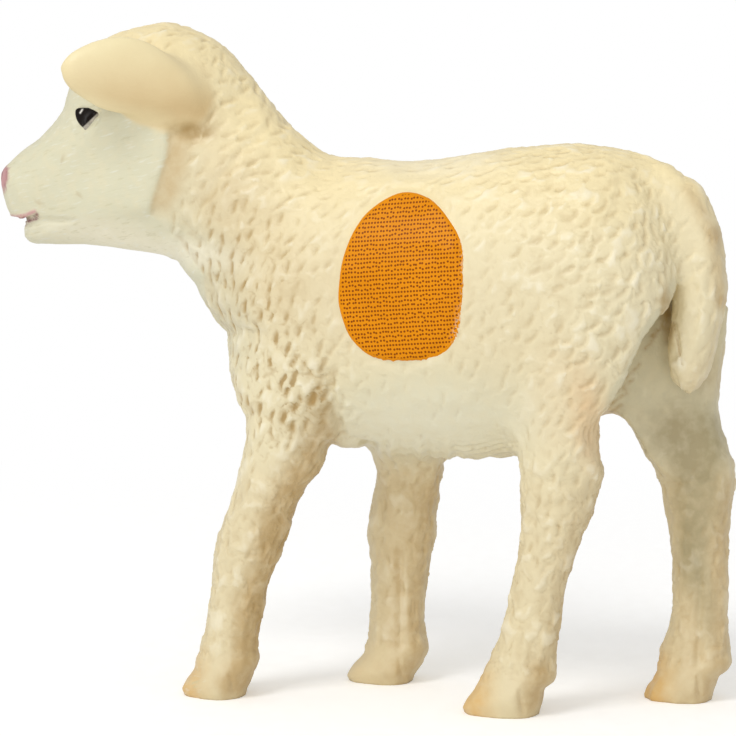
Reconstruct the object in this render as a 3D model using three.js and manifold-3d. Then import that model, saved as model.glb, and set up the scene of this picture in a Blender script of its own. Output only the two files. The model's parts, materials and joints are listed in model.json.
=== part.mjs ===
// A toy lamb: a standing farm animal figure in soft vinyl, moulded as separate pieces that plug together.
// Millimetres. +Z is up, +X runs from the nose towards the tail, and the lamb's left side faces -Y.
// The origin is on the ground, under the middle of the figure's bounding box.
import * as THREE from "three";
import { mergeVertices } from "three/addons/utils/BufferGeometryUtils.js";
import Module from "manifold-3d";

const wasm = await Module();
wasm.setup();

// Stance
const bellyHeight = 19.8; // ground to the lowest point of the belly
const jointDrop = 1.2; // from the belly down to the face where the legs plug in
const soleSpacing = 9.4; // left hooves to right hooves, centre to centre
const jointSpacing = 9.2; // left legs to right legs at the joint face
const hipSpacing = 8.6; // left to right shoulder and hip, inside the torso

// Torso
const torsoLength = 39.5;
const torsoDepth = 24.8;
const torsoWidth = 18.8;

// Neck
const neckLength = 15.8;
const neckDepth = 15.4;
const neckWidth = 12.6;
const neckRiseDeg = 47.5;
const neckCutDeg = 38; // lean of the joint face from upright

// Head
const headLength = 16.9; // nape to nose
const headDepth = 18.9; // jaw to crown
const headWidth = 12.6;
const headTurnDeg = 10; // to the lamb's left

// Ears
const earLength = 12.0;
const earBreadth = 6.8;
const earThickness = 2.6;
const earSplayDeg = 23; // away from the side of the head
const earLiftDeg = 12;

// Mouth
const mouthLength = 2.7; // from the front of the lips back along the cheek
const mouthGap = 0.35;
const mouthTiltDeg = 20;

// Eyes
const eyeLength = 2.1;
const eyeHeight = 1.9;
const eyeBulge = 1.5;

// Tail
const tailLength = 17.2;
const tailBreadth = 4.8;
const tailThickness = 4.0;

// Legs
const frontLegDepth = 6.9; // fore and aft, at the joint face
const hindLegDepth = 7.0;
const legWidth = 4.7; // across, at the cannon bone
const hoofLength = 6.0;
const hoofWidth = 5.2;
const cleftLength = 1.5; // groove between the two claws, front to back
const cleftWidth = 0.9;
const cleftHeight = 2.6;

// Touch patch on the left flank
const patchWidth = 10.3;
const patchHeight = 13.5;
const patchThickness = 0.8;

// Plug joints
const legPegRadius = 1.5;
const legPegLength = 4.5;
const neckPegRadius = 3.2;
const neckPegLength = 6;
const clearance = 0.3;

// Skin
const limbBlend = 2.4; // softness of the hollow where a limb meets the torso
const faceBlend = 1.6; // the same between jaw and face
const bodyStep = 1.7; // spacing of the surface points
const limbStep = 1.25;
const overrun = 2.6; // how far a skin or a cutter runs past the face that it is trimmed to

const paint = {
  fleece: new THREE.MeshStandardMaterial({ color: 0xf0e5c6, roughness: 0.6, metalness: 0 }),
  face: new THREE.MeshStandardMaterial({ color: 0xebe6cd, roughness: 0.5, metalness: 0 }),
  ear: new THREE.MeshStandardMaterial({ color: 0xefd9b0, roughness: 0.45, metalness: 0 }),
  leg: new THREE.MeshStandardMaterial({ color: 0xe9dcb9, roughness: 0.55, metalness: 0 }),
  eye: new THREE.MeshStandardMaterial({ color: 0x17100c, roughness: 0.1, metalness: 0 }),
  patch: new THREE.MeshStandardMaterial({ color: 0xe8920f, roughness: 0.6, metalness: 0 }),
};

const radians = THREE.MathUtils.degToRad;
const mix = THREE.MathUtils.lerp;
const vec = (x, y, z) => new THREE.Vector3(x, y, z);
const jointHeight = bellyHeight - jointDrop;

// Signed distances
// A function of a point, below zero inside the figure.

const sweepStepsPerStation = 5;

// Balls swept along a smooth spine. A station has its place, its radius in the side view and its half width.
function sweep(stations) {
  const count = (stations.length - 1) * sweepStepsPerStation;
  const spine = new THREE.CatmullRomCurve3(stations.map((s) => s.at));
  const girth = new THREE.CatmullRomCurve3(stations.map((s) => vec(s.radius, s.half, 0)));
  const balls = Array.from({ length: count + 1 }, (_, i) => {
    const size = girth.getPoint(i / count);
    return { at: spine.getPoint(i / count), radius: size.x, flat: size.y / size.x };
  });
  return (p) => {
    let nearest = Infinity;
    for (let i = 0; i < count; i += 1) {
      const a = balls[i];
      const b = balls[i + 1];
      const [dx, dy, dz] = [b.at.x - a.at.x, b.at.y - a.at.y, b.at.z - a.at.z];
      const [px, py, pz] = [p.x - a.at.x, p.y - a.at.y, p.z - a.at.z];
      const along = (px * dx + py * dy + pz * dz) / (dx * dx + dy * dy + dz * dz);
      const t = Math.min(1, Math.max(0, along));
      const flat = mix(a.flat, b.flat, t);
      const reach = Math.hypot(px - dx * t, (py - dy * t) / flat, pz - dz * t);
      nearest = Math.min(nearest, (reach - mix(a.radius, b.radius, t)) * Math.min(1, flat));
    }
    return nearest;
  };
}

// Joins shapes with a soft hollow of the given radius between them.
function blend(radius, ...shapes) {
  return (p) =>
    shapes.map((shape) => shape(p)).reduce((a, b) => {
      const soft = Math.max(0, radius - Math.abs(a - b)) / radius;
      return Math.min(a, b) - (soft * soft * radius) / 4;
    });
}

// The same shape grown on all sides, or shrunk if the amount is negative.
const grow = (shape, amount) => (p) => shape(p) - amount;

// The shape carried by a matrix without scale.
function carried(shape, matrix) {
  const back = matrix.clone().invert();
  const local = vec(0, 0, 0);
  return (p) => shape(local.copy(p).applyMatrix4(back));
}

// The part of a shape inside a box, so that its skin closes there.
function within(box, shape) {
  return (p) =>
    Math.max(
      shape(p),
      box.min.x - p.x, p.x - box.max.x,
      box.min.y - p.y, p.y - box.max.y,
      box.min.z - p.z, p.z - box.max.z,
    );
}

// Surface of a signed distance inside a box: one point for each grid cell that the surface crosses,
// drawn onto it, and one quad for each grid edge that it crosses.
const skinBlock = 4; // cells along the side of a block that is looked at as a whole first
function skin(shape, box, step) {
  const closed = within(box, shape);
  const low = box.min.clone().addScalar(-step * 1.5);
  const cells = box.max.clone().addScalar(step * 1.5).sub(low).divideScalar(step * skinBlock).ceil();
  const [nx, ny, nz] = cells.multiplyScalar(skinBlock).addScalar(1).toArray();
  const index = (i, j, k) => i + nx * (j + ny * k);
  const place = (i, j, k) => vec(low.x + i * step, low.y + j * step, low.z + k * step);
  const value = new Float64Array(nx * ny * nz);
  eachCell([nx, ny, nz].map((n) => Math.ceil(n / skinBlock)), (bi, bj, bk) => {
    const [i0, j0, k0] = [bi * skinBlock, bj * skinBlock, bk * skinBlock];
    const half = (skinBlock - 1) / 2;
    const centre = closed(place(i0 + half, j0 + half, k0 + half));
    const far = Math.abs(centre) > step * skinBlock;
    const size = [nx - i0, ny - j0, nz - k0].map((n) => Math.min(n, skinBlock));
    eachCell(size, (i, j, k) => {
      value[index(i0 + i, j0 + j, k0 + k)] = far ? centre : closed(place(i0 + i, j0 + j, k0 + k));
    });
  });

  // Grid squares with corners in and out by turns would pinch the skin, so their nearest outer corner is taken in.
  const axes = [vec(1, 0, 0), vec(0, 1, 0), vec(0, 0, 1)];
  const squares = [[axes[0], axes[1]], [axes[1], axes[2]], [axes[2], axes[0]]];
  for (let pinched = true; pinched;) {
    pinched = false;
    eachCell([nx - 1, ny - 1, nz - 1], (i, j, k) => {
      for (const [u, v] of squares) {
        const ring = [vec(0, 0, 0), u, u.clone().add(v), v].map((o) => index(i + o.x, j + o.y, k + o.z));
        const [a, b, c, d] = ring.map((n) => value[n] < 0);
        if (a === b || a !== c || b !== d) continue;
        const outer = ring.filter((n) => value[n] >= 0).sort((m, n) => value[m] - value[n]);
        value[outer[0]] = -step / 100;
        pinched = true;
      }
    });
  }

  // Draws a point onto the surface, but no further than the walls of its own cell.
  const drawOn = (start, corner) => {
    const p = start.clone();
    const nudge = step / 50;
    for (let turn = 0; turn < 2; turn += 1) {
      const here = closed(p);
      const slope = vec(
        closed(vec(p.x + nudge, p.y, p.z)) - here,
        closed(vec(p.x, p.y + nudge, p.z)) - here,
        closed(vec(p.x, p.y, p.z + nudge)) - here,
      ).divideScalar(nudge);
      p.addScaledVector(slope, -here / Math.max(slope.lengthSq(), 1 / 4));
    }
    const inset = step / 20;
    return p.clamp(corner.clone().addScalar(inset), corner.clone().addScalar(step - inset));
  };

  const corners = [0, 1, 2, 3, 4, 5, 6, 7].map((n) => vec(n & 1, (n >> 1) & 1, n >> 2));
  const edges = corners.flatMap((a) =>
    corners.filter((b) => b.manhattanDistanceTo(a) === 1 && b.length() > a.length()).map((b) => [a, b]));
  const pointOfCell = new Map();
  const points = [];
  eachCell([nx - 1, ny - 1, nz - 1], (i, j, k) => {
    const middle = vec(0, 0, 0);
    let crossings = 0;
    for (const [a, b] of edges) {
      const va = value[index(i + a.x, j + a.y, k + a.z)];
      const vb = value[index(i + b.x, j + b.y, k + b.z)];
      if (va < 0 === vb < 0) continue;
      const t = va / (va - vb);
      middle.add(place(i + mix(a.x, b.x, t), j + mix(a.y, b.y, t), k + mix(a.z, b.z, t)));
      crossings += 1;
    }
    if (!crossings) return;
    pointOfCell.set(index(i, j, k), points.length);
    points.push(drawOn(middle.divideScalar(crossings), place(i, j, k)));
  });

  const faces = [];
  const quad = (around, outward) => {
    const [a, b, c, d] = around.map((cell) => pointOfCell.get(cell));
    const shortFirst = points[a].distanceTo(points[c]) <= points[b].distanceTo(points[d]);
    const halves = shortFirst ? [[a, b, c], [a, c, d]] : [[a, b, d], [b, c, d]];
    for (const [p, q, r] of halves) faces.push(...(outward ? [p, q, r] : [r, q, p]));
  };
  eachCell([nx - 2, ny - 2, nz - 2], (a, b, c) => {
    const [i, j, k] = [a + 1, b + 1, c + 1];
    const inside = value[index(i, j, k)] < 0;
    if (inside !== value[index(i + 1, j, k)] < 0)
      quad([index(i, j - 1, k - 1), index(i, j, k - 1), index(i, j, k), index(i, j - 1, k)], inside);
    if (inside !== value[index(i, j + 1, k)] < 0)
      quad([index(i - 1, j, k - 1), index(i - 1, j, k), index(i, j, k), index(i, j, k - 1)], inside);
    if (inside !== value[index(i, j, k + 1)] < 0)
      quad([index(i - 1, j - 1, k), index(i, j - 1, k), index(i, j, k), index(i - 1, j, k)], inside);
  });
  return solid(new THREE.BufferGeometry().setFromPoints(points).setIndex(faces));
}

function eachCell([nx, ny, nz], visit) {
  for (let k = 0; k < nz; k += 1)
    for (let j = 0; j < ny; j += 1)
      for (let i = 0; i < nx; i += 1) visit(i, j, k);
}

// Solids for cutting and joining

function solid(geometry, matrix = new THREE.Matrix4()) {
  const bare = geometry.clone().applyMatrix4(matrix);
  bare.deleteAttribute("normal");
  bare.deleteAttribute("uv");
  const merged = mergeVertices(bare);
  return new wasm.Manifold(
    new wasm.Mesh({
      numProp: 3,
      vertProperties: new Float32Array(merged.attributes.position.array),
      triVerts: new Uint32Array(merged.index.array),
    }),
  );
}

function mesh(name, shape, material) {
  const made = shape.getMesh();
  const geometry = new THREE.BufferGeometry();
  geometry.setAttribute("position", new THREE.BufferAttribute(new Float32Array(made.vertProperties), 3));
  geometry.setIndex(new THREE.BufferAttribute(new Uint32Array(made.triVerts), 1));
  geometry.computeVertexNormals();
  const result = new THREE.Mesh(geometry, material);
  result.name = name;
  return result;
}

// A block that fills all space from a face onwards along a frame's +Z.
function beyond(frame, offset = 0) {
  const wide = 2 * (torsoLength + headLength + torsoDepth);
  const block = new THREE.BoxGeometry(wide, wide, wide).translate(0, 0, wide / 2 + offset);
  return solid(block, frame);
}

// A plug along a frame's +Z, from some way behind its face to the given length.
const pegSides = 24;
function peg(frame, radius, length, behind) {
  const rod = new THREE.CylinderGeometry(radius, radius, length + behind, pegSides)
    .rotateX(Math.PI / 2)
    .translate(0, 0, (length - behind) / 2);
  return solid(rod, frame);
}

// Torso
// Shares of its length from chest to rump, of its depth up from the belly, and of its depth and width for the girth.

const torsoShares = [
  { along: 0.21, up: 0.45, radius: 0.36, half: 0.41 },
  { along: 0.36, up: 0.49, radius: 0.485, half: 0.485 },
  { along: 0.537, up: 0.505, radius: 0.5, half: 0.5 },
  { along: 0.655, up: 0.565, radius: 0.475, half: 0.48 },
  { along: 0.748, up: 0.695, radius: 0.32, half: 0.41 },
];
const onTorso = ({ along, up }, across = 0) =>
  vec(torsoLength * along, across, bellyHeight + torsoDepth * up);
const torso = sweep(
  torsoShares.map((s) => ({
    at: onTorso(s),
    radius: torsoDepth * s.radius,
    half: torsoWidth * s.half,
  })),
);

// Neck

const neckBaseShares = { along: 0.168, up: 0.6 };
const neckShares = [
  { along: 0, radius: 0.585, half: 0.56 },
  { along: 0.55, radius: 0.48, half: 0.5 },
  { along: 1, radius: 0.4, half: 0.46 },
];
const neckCutShare = 0.62;
const neckRise = vec(-Math.cos(radians(neckRiseDeg)), 0, Math.sin(radians(neckRiseDeg)));
const onNeck = (share) => onTorso(neckBaseShares).addScaledVector(neckRise, neckLength * share);
const neck = sweep(
  neckShares.map((s) => ({
    at: onNeck(s.along),
    radius: neckDepth * s.radius,
    half: neckWidth * s.half,
  })),
);

// The neck's joint face, with +Z towards the torso
const neckFace = new THREE.Matrix4()
  .makeRotationY(Math.PI / 2 + radians(neckCutDeg))
  .setPosition(onNeck(neckCutShare));

// Head
// Its own frame has the origin at the nape, -X towards the nose and +Z up.
// Shares of its length forward, of its depth up, and of its depth and width for the girth.

const headFrame = new THREE.Matrix4().makeRotationZ(radians(headTurnDeg)).setPosition(onNeck(1));
const onHead = ({ forward, up }, across = 0) => vec(-headLength * forward, across, headDepth * up);
const headSweep = (shares) =>
  carried(
    sweep(
      shares.map((s) => ({
        at: onHead(s),
        radius: headDepth * s.radius,
        half: headWidth * s.half,
      })),
    ),
    headFrame,
  );
const skull = headSweep([
  { forward: 0.135, up: 0.135, radius: 0.355, half: 0.5 },
  { forward: 0.3, up: 0.12, radius: 0.305, half: 0.476 },
  { forward: 0.59, up: -0.135, radius: 0.22, half: 0.34 },
  { forward: 0.79, up: -0.25, radius: 0.188, half: 0.28 },
]);
const jaw = headSweep([
  { forward: 0.123, up: -0.21, radius: 0.32, half: 0.44 },
  { forward: 0.415, up: -0.278, radius: 0.238, half: 0.38 },
  { forward: 0.7, up: -0.385, radius: 0.13, half: 0.21 },
]);
const face = blend(faceBlend, skull, jaw);

// The slit between the lips, cut straight across the muzzle
const lipsShares = { forward: 1.02, up: -0.37 };
function mouthSlit() {
  const frame = new THREE.Matrix4()
    .makeRotationY(radians(mouthTiltDeg))
    .setPosition(onHead(lipsShares));
  const slab = new THREE.BoxGeometry(mouthLength + overrun, headWidth, mouthGap);
  return solid(slab.translate((mouthLength - overrun) / 2, 0, 0), headFrame.clone().multiply(frame));
}

// Ears
// A leaf in its own frame: the root at the origin, the tip along -X and its flat sides facing across.

const earRootShares = { forward: -0.11, up: 0.155, across: 0.4 };
const earShares = [
  { along: 0.03, breadth: 0.22, thickness: 0.3 },
  { along: 0.1, breadth: 0.36, thickness: 0.44 },
  { along: 0.25, breadth: 0.46, thickness: 0.5 },
  { along: 0.42, breadth: 0.5, thickness: 0.48 },
  { along: 0.6, breadth: 0.48, thickness: 0.45 },
  { along: 0.77, breadth: 0.4, thickness: 0.4 },
  { along: 0.9, breadth: 0.28, thickness: 0.32 },
  { along: 0.97, breadth: 0.16, thickness: 0.2 },
];
const earRound = 16;
function earLeaf(side, extra) {
  const points = [vec(extra, 0, 0)];
  for (const share of earShares)
    for (let n = 0; n < earRound; n += 1) {
      const angle = (2 * Math.PI * n) / earRound;
      points.push(vec(
        -earLength * share.along,
        Math.cos(angle) * (earThickness * share.thickness + extra),
        Math.sin(angle) * (earBreadth * share.breadth + extra),
      ));
    }
  points.push(vec(-earLength - extra, 0, 0));
  const ring = (row, n) => 1 + row * earRound + (n % earRound);
  const last = earShares.length - 1;
  const faces = [];
  for (let n = 0; n < earRound; n += 1) {
    faces.push(0, ring(0, n), ring(0, n + 1));
    for (let row = 0; row < last; row += 1) {
      faces.push(ring(row, n), ring(row + 1, n), ring(row + 1, n + 1));
      faces.push(ring(row, n), ring(row + 1, n + 1), ring(row, n + 1));
    }
    faces.push(points.length - 1, ring(last, n + 1), ring(last, n));
  }
  const turn = new THREE.Euler(0, radians(earLiftDeg), -side * radians(earSplayDeg), "ZYX");
  const frame = new THREE.Matrix4()
    .makeRotationFromEuler(turn)
    .setPosition(onHead(earRootShares, side * headWidth * earRootShares.across));
  const leaf = new THREE.BufferGeometry().setFromPoints(points).setIndex(faces);
  return solid(leaf, headFrame.clone().multiply(frame));
}
const ears = [
  { name: "left_ear", side: -1 },
  { name: "right_ear", side: 1 },
].map(({ name, side }) => ({ name, piece: earLeaf(side, 0), pocket: earLeaf(side, clearance) }));

// Eyes
// Flattened beads, half sunk into the sides of the head

const eyeShares = { forward: 0.48, up: 0.06 };
const eyeRound = 16;
function onCheek(shares, side) {
  let inner = 0;
  let outer = headWidth;
  while (outer - inner > headWidth / 1000) {
    const middle = (inner + outer) / 2;
    if (face(onHead(shares, side * middle).applyMatrix4(headFrame)) < 0) inner = middle;
    else outer = middle;
  }
  return onHead(shares, side * inner);
}
function eyeBead(side, extra) {
  const frame = headFrame.clone().multiply(new THREE.Matrix4().setPosition(onCheek(eyeShares, side)));
  const bead = new THREE.SphereGeometry(1, eyeRound, eyeRound / 2)
    .scale(eyeLength / 2 + extra, eyeBulge / 2 + extra, eyeHeight / 2 + extra);
  return solid(bead, frame);
}
const eyes = [
  { name: "left_eye", side: -1 },
  { name: "right_eye", side: 1 },
].map(({ name, side }) => ({ name, piece: eyeBead(side, 0), pocket: eyeBead(side, clearance) }));

// Legs
// A leg runs from its pastern up to the joint face, and on inside the torso to the shoulder or hip.
// Shares of the joint face's height, of the leg's depth forward, and of its depth and width for the girth.

const legShares = {
  front: {
    pillar: [
      { height: 0.05, forward: 0.06, radius: 0.34, half: 0.5 },
      { height: 0.22, forward: 0, radius: 0.36, half: 0.47 },
      { height: 0.46, forward: 0.06, radius: 0.33, half: 0.47 },
      { height: 0.68, forward: 0.1, radius: 0.42, half: 0.56 },
      { height: 0.85, forward: 0.06, radius: 0.415, half: 0.58 },
      { height: 1, forward: 0, radius: 0.455, half: 0.63 },
    ],
    inside: [
      { up: 0.35, radius: 0.57, half: 0.78 },
      { up: 1, radius: 0.84, half: 0.9 },
    ],
    shoulder: { along: 0.2, up: 0.45 },
  },
  hind: {
    pillar: [
      { height: 0.05, forward: 0.06, radius: 0.37, half: 0.5 },
      { height: 0.22, forward: 0, radius: 0.39, half: 0.5 },
      { height: 0.46, forward: -0.05, radius: 0.33, half: 0.46 },
      { height: 0.7, forward: -0.04, radius: 0.345, half: 0.5 },
      { height: 0.87, forward: -0.04, radius: 0.4, half: 0.57 },
      { height: 1, forward: 0, radius: 0.44, half: 0.63 },
    ],
    inside: [
      { up: 0.35, radius: 0.53, half: 0.82 },
      { up: 1, radius: 0.92, half: 1.0 },
    ],
    shoulder: { along: 0.77, up: 0.56 },
  },
};
const pasternShare = 0.22; // height of the pastern
const legs = [
  { name: "front_left_leg", kind: "front", side: -1, footShare: 0.034, topShare: 0.135 },
  { name: "front_right_leg", kind: "front", side: 1, footShare: 0.328, topShare: 0.36 },
  { name: "hind_left_leg", kind: "hind", side: -1, footShare: 0.648, topShare: 0.725 },
  { name: "hind_right_leg", kind: "hind", side: 1, footShare: 0.968, topShare: 0.965 },
].map(({ name, kind, side, footShare, topShare }) => {
  const depth = kind === "front" ? frontLegDepth : hindLegDepth;
  const { pillar, inside, shoulder } = legShares[kind];
  const foot = vec(torsoLength * footShare, (side * soleSpacing) / 2, jointHeight * pasternShare);
  const top = vec(torsoLength * topShare, (side * jointSpacing) / 2, jointHeight);
  const hidden = onTorso(shoulder, (side * hipSpacing) / 2);
  const stations = [
    ...pillar.map((s) => {
      const at = foot.clone().lerp(top, Math.max(0, (s.height - pasternShare) / (1 - pasternShare)));
      at.x -= depth * s.forward;
      at.z = jointHeight * s.height;
      return { at, radius: depth * s.radius, half: legWidth * s.half };
    }),
    ...inside.map((s) => ({
      at: top.clone().lerp(hidden, s.up),
      radius: depth * s.radius,
      half: legWidth * s.half,
    })),
  ];
  const lean = new THREE.Quaternion().setFromUnitVectors(vec(0, 0, 1), hidden.clone().sub(top).normalize());
  const plug = new THREE.Matrix4().makeRotationFromQuaternion(lean).setPosition(top);
  return { name, side, depth, foot, top, plug, limb: sweep(stations) };
});

// Heel and toe of a hoof
const hoofShares = [
  { forward: 0, rise: 0.27, radius: 0.3, half: 0.46 },
  { forward: 0.48, rise: 0.12, radius: 0.2, half: 0.4 },
];
const hoof = ({ foot }) =>
  sweep(
    hoofShares.map((s) => ({
      at: vec(foot.x - hoofLength * s.forward, foot.y, hoofLength * s.rise),
      radius: hoofLength * s.radius,
      half: hoofWidth * s.half,
    })),
  );

// Groove between the claws, open at the toe and at the sole
const toeShare = 0.68; // from the middle of the heel to the front of the hoof
function cleft({ foot }) {
  const deep = cleftLength + overrun;
  const half = (cleftWidth * deep) / cleftLength / 2;
  const wedge = new THREE.Shape([
    new THREE.Vector2(-overrun, half),
    new THREE.Vector2(-overrun, -half),
    new THREE.Vector2(cleftLength, 0),
  ]);
  const groove = new THREE.ExtrudeGeometry(wedge, { depth: cleftHeight + overrun, bevelEnabled: false });
  return solid(groove.translate(foot.x - hoofLength * toeShare, foot.y, -overrun));
}

// Faces of the legs: the ground, with +Z down, and the joint, with +Z up
const ground = new THREE.Matrix4().makeRotationX(Math.PI);
const legFace = new THREE.Matrix4().setPosition(0, 0, jointHeight);
function legPiece(leg) {
  const shape = blend(limbBlend, torso, blend(faceBlend, leg.limb, hoof(leg)));
  const reach = hoofLength + leg.depth;
  const box = new THREE.Box3(
    vec(Math.min(leg.foot.x, leg.top.x) - reach, Math.min(0, leg.side * reach), -overrun),
    vec(Math.max(leg.foot.x, leg.top.x) + reach, Math.max(0, leg.side * reach), jointHeight + overrun),
  );
  return skin(shape, box, limbStep)
    .subtract(beyond(ground))
    .subtract(cleft(leg))
    .subtract(beyond(legFace))
    .add(peg(leg.plug, legPegRadius, legPegLength, legPegRadius));
}

// Tail
// It leaves the rump level with the back, bends over and hangs straight down. Shares of its own length.

const tailTopShares = { along: 0.984, up: 0.9 };
const tailShares = [
  { back: -0.3, down: -0.02, radius: 0.5, half: 0.4 },
  { back: -0.095, down: 0.065, radius: 0.52, half: 0.46 },
  { back: 0, down: 0.34, radius: 0.53, half: 0.5 },
  { back: 0.008, down: 0.62, radius: 0.5, half: 0.5 },
  { back: 0, down: 0.88, radius: 0.37, half: 0.4 },
];
const tailTop = onTorso(tailTopShares);
const tail = sweep(
  tailShares.map((s) => ({
    at: tailTop.clone().add(vec(tailLength * s.back, 0, -tailLength * s.down)),
    radius: tailThickness * s.radius,
    half: tailBreadth * s.half,
  })),
);
const tailBox = new THREE.Box3()
  .setFromPoints([tailTop, tailTop.clone().add(vec(-tailLength / 3, 0, -tailLength))])
  .expandByScalar(tailBreadth);
const tailPiece = skin(tail, tailBox, limbStep);
const tailPocket = skin(grow(tail, clearance), tailBox, limbStep);

// Touch patch
// An egg seen from the lamb's left, its blunt end down. It follows the flank and is let into it.

const patchCentreShares = { along: 0.42, up: 0.585 };
const patchBluntShare = 0.44; // of the height, below its widest level
const patchRound = 40;
function patchPrism(extra) {
  const outline = Array.from({ length: patchRound }, (_, n) => {
    const angle = (2 * Math.PI * n) / patchRound;
    const high = Math.sin(angle) > 0 ? 1 - patchBluntShare : patchBluntShare;
    return new THREE.Vector2(
      Math.cos(angle) * (patchWidth / 2 + extra),
      Math.sin(angle) * (patchHeight * high + extra),
    );
  });
  const prism = new THREE.ExtrudeGeometry(new THREE.Shape(outline), { depth: torsoWidth, bevelEnabled: false });
  const start = onTorso(patchCentreShares, -torsoWidth / 4);
  return solid(prism.rotateX(Math.PI / 2), new THREE.Matrix4().setPosition(start));
}

const trunk = blend(limbBlend, torso, neck, ...legs.map((leg) => leg.limb));
const flankBox = new THREE.Box3()
  .setFromPoints([onTorso(patchCentreShares), onTorso(patchCentreShares, -torsoWidth)])
  .expandByVector(vec(patchWidth, overrun, patchHeight));
const flank = (depth) => skin(grow(trunk, -depth), flankBox, bodyStep);
const patchPiece = patchPrism(0).intersect(flank(0)).subtract(flank(patchThickness));
const patchPocket = patchPrism(clearance).subtract(flank(patchThickness + clearance));

// Head and body, parted at the neck's joint face

const highest = bellyHeight + torsoDepth + headDepth;
const nose = vec(-headLength, 0, 0).applyMatrix4(headFrame);
const headBox = new THREE.Box3(
  vec(nose.x - overrun, -headWidth, bellyHeight),
  vec(onNeck(0).x, headWidth, highest),
);
const head = skin(blend(limbBlend, torso, neck, face), headBox, limbStep)
  .subtract(beyond(neckFace, -clearance / 2))
  .add(peg(neckFace, neckPegRadius, neckPegLength, overrun))
  .subtract(mouthSlit())
  .subtract(wasm.Manifold.union([...ears, ...eyes].map(({ pocket }) => pocket)));

const bodyBox = new THREE.Box3(
  vec(-torsoLength / 4, -torsoWidth, jointHeight - overrun),
  vec(torsoLength + tailThickness, torsoWidth, highest),
);
const legSockets = legs.map((leg) =>
  peg(leg.plug, legPegRadius + clearance, legPegLength + clearance, overrun));
const body = skin(blend(limbBlend, trunk, face), bodyBox, bodyStep)
  .subtract(beyond(ground, -jointHeight))
  .intersect(beyond(neckFace, clearance / 2))
  .subtract(peg(neckFace, neckPegRadius + clearance, neckPegLength + clearance, overrun))
  .subtract(wasm.Manifold.union([...legSockets, tailPocket, patchPocket]));

const lamb = new THREE.Group();
lamb.add(
  mesh("body", body, paint.fleece),
  mesh("head", head, paint.face),
  ...ears.map(({ name, piece }) => mesh(name, piece, paint.ear)),
  ...eyes.map(({ name, piece }) => mesh(name, piece, paint.eye)),
  mesh("tail", tailPiece, paint.fleece),
  ...legs.map((leg) => mesh(leg.name, legPiece(leg), paint.leg)),
  mesh("touch_patch", patchPiece, paint.patch),
);

// The figure's middle goes over the origin.
const middle = new THREE.Box3().setFromObject(lamb).getCenter(vec(0, 0, 0));
for (const piece of lamb.children) piece.position.set(-middle.x, -middle.y, 0);

export default lamb;
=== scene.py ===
"""A toy lamb in painted soft vinyl: a woolly coat, a smooth face, leaf ears and a printed touch patch."""

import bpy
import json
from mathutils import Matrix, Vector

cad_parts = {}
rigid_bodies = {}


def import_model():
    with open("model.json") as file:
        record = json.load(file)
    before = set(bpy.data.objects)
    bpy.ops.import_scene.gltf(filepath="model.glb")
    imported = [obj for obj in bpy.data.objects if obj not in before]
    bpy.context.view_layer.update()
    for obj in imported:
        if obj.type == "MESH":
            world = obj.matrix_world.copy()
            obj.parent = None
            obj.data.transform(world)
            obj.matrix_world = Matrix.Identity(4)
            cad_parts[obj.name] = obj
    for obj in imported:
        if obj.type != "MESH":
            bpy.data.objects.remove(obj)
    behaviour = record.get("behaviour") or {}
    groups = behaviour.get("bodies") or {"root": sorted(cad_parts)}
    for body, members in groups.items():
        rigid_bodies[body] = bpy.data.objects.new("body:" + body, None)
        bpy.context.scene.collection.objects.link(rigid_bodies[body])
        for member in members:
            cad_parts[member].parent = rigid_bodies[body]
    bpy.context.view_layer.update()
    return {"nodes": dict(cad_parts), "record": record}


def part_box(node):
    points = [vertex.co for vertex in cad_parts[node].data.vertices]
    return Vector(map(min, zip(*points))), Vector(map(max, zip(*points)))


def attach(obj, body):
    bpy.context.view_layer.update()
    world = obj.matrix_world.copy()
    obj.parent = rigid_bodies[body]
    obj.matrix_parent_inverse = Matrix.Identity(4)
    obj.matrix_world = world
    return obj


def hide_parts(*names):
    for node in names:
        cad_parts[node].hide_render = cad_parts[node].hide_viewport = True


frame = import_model()

import json
import math
from types import SimpleNamespace

import bmesh
import bpy
import numpy as np
from mathutils import Vector
from mathutils.bvhtree import BVHTree

bl_info = {
    "name": "Toy lamb",
    "version": (1, 0, 0),
    "blender": (4, 5, 0),
    "location": "3D View > Sidebar > Lamb",
    "description": "Dresses the packed toy lamb in its woolly, painted vinyl skin",
    "category": "Object",
}

MM = 0.001
LEGS = ("front_left_leg", "front_right_leg", "hind_left_leg", "hind_right_leg")
SIDES = ("left", "right")
PARTS = ("tail", "left_ear", "right_ear")  # of the skin, besides those that a plane cuts off

# The photograph's camera, in millimetres and degrees
IMAGE = 736  # pixels along each side
AZIMUTH = 16.5  # round from the left side towards the rump
ELEVATION = 5.0
DISTANCE = 210.0
TARGET = np.array((1.5, 0.0, 27.1))
PIXEL = 0.0822  # at the target
SENSOR = 36.0
FOCAL = DISTANCE / PIXEL
TURN, LIFT = math.radians(AZIMUTH), math.radians(ELEVATION)
BACK = np.array((math.sin(TURN) * math.cos(LIFT), -math.cos(TURN) * math.cos(LIFT), math.sin(LIFT)))
RIGHT = np.array((math.cos(TURN), math.sin(TURN), 0.0))
CAMERA = TARGET + BACK * DISTANCE


# Places and directions, from the frame

def corners(node):
    """Lowest and highest corner of a CAD node, in millimetres."""
    low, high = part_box(node)
    return np.array(low) / MM, np.array(high) / MM


def centre(node):
    """The middle of a CAD node's box, in millimetres."""
    return sum(corners(node)) / 2


def unit(v):
    """Directions at length 1."""
    return v / np.maximum(np.linalg.norm(v, axis=-1, keepdims=True), 1e-12)


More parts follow.
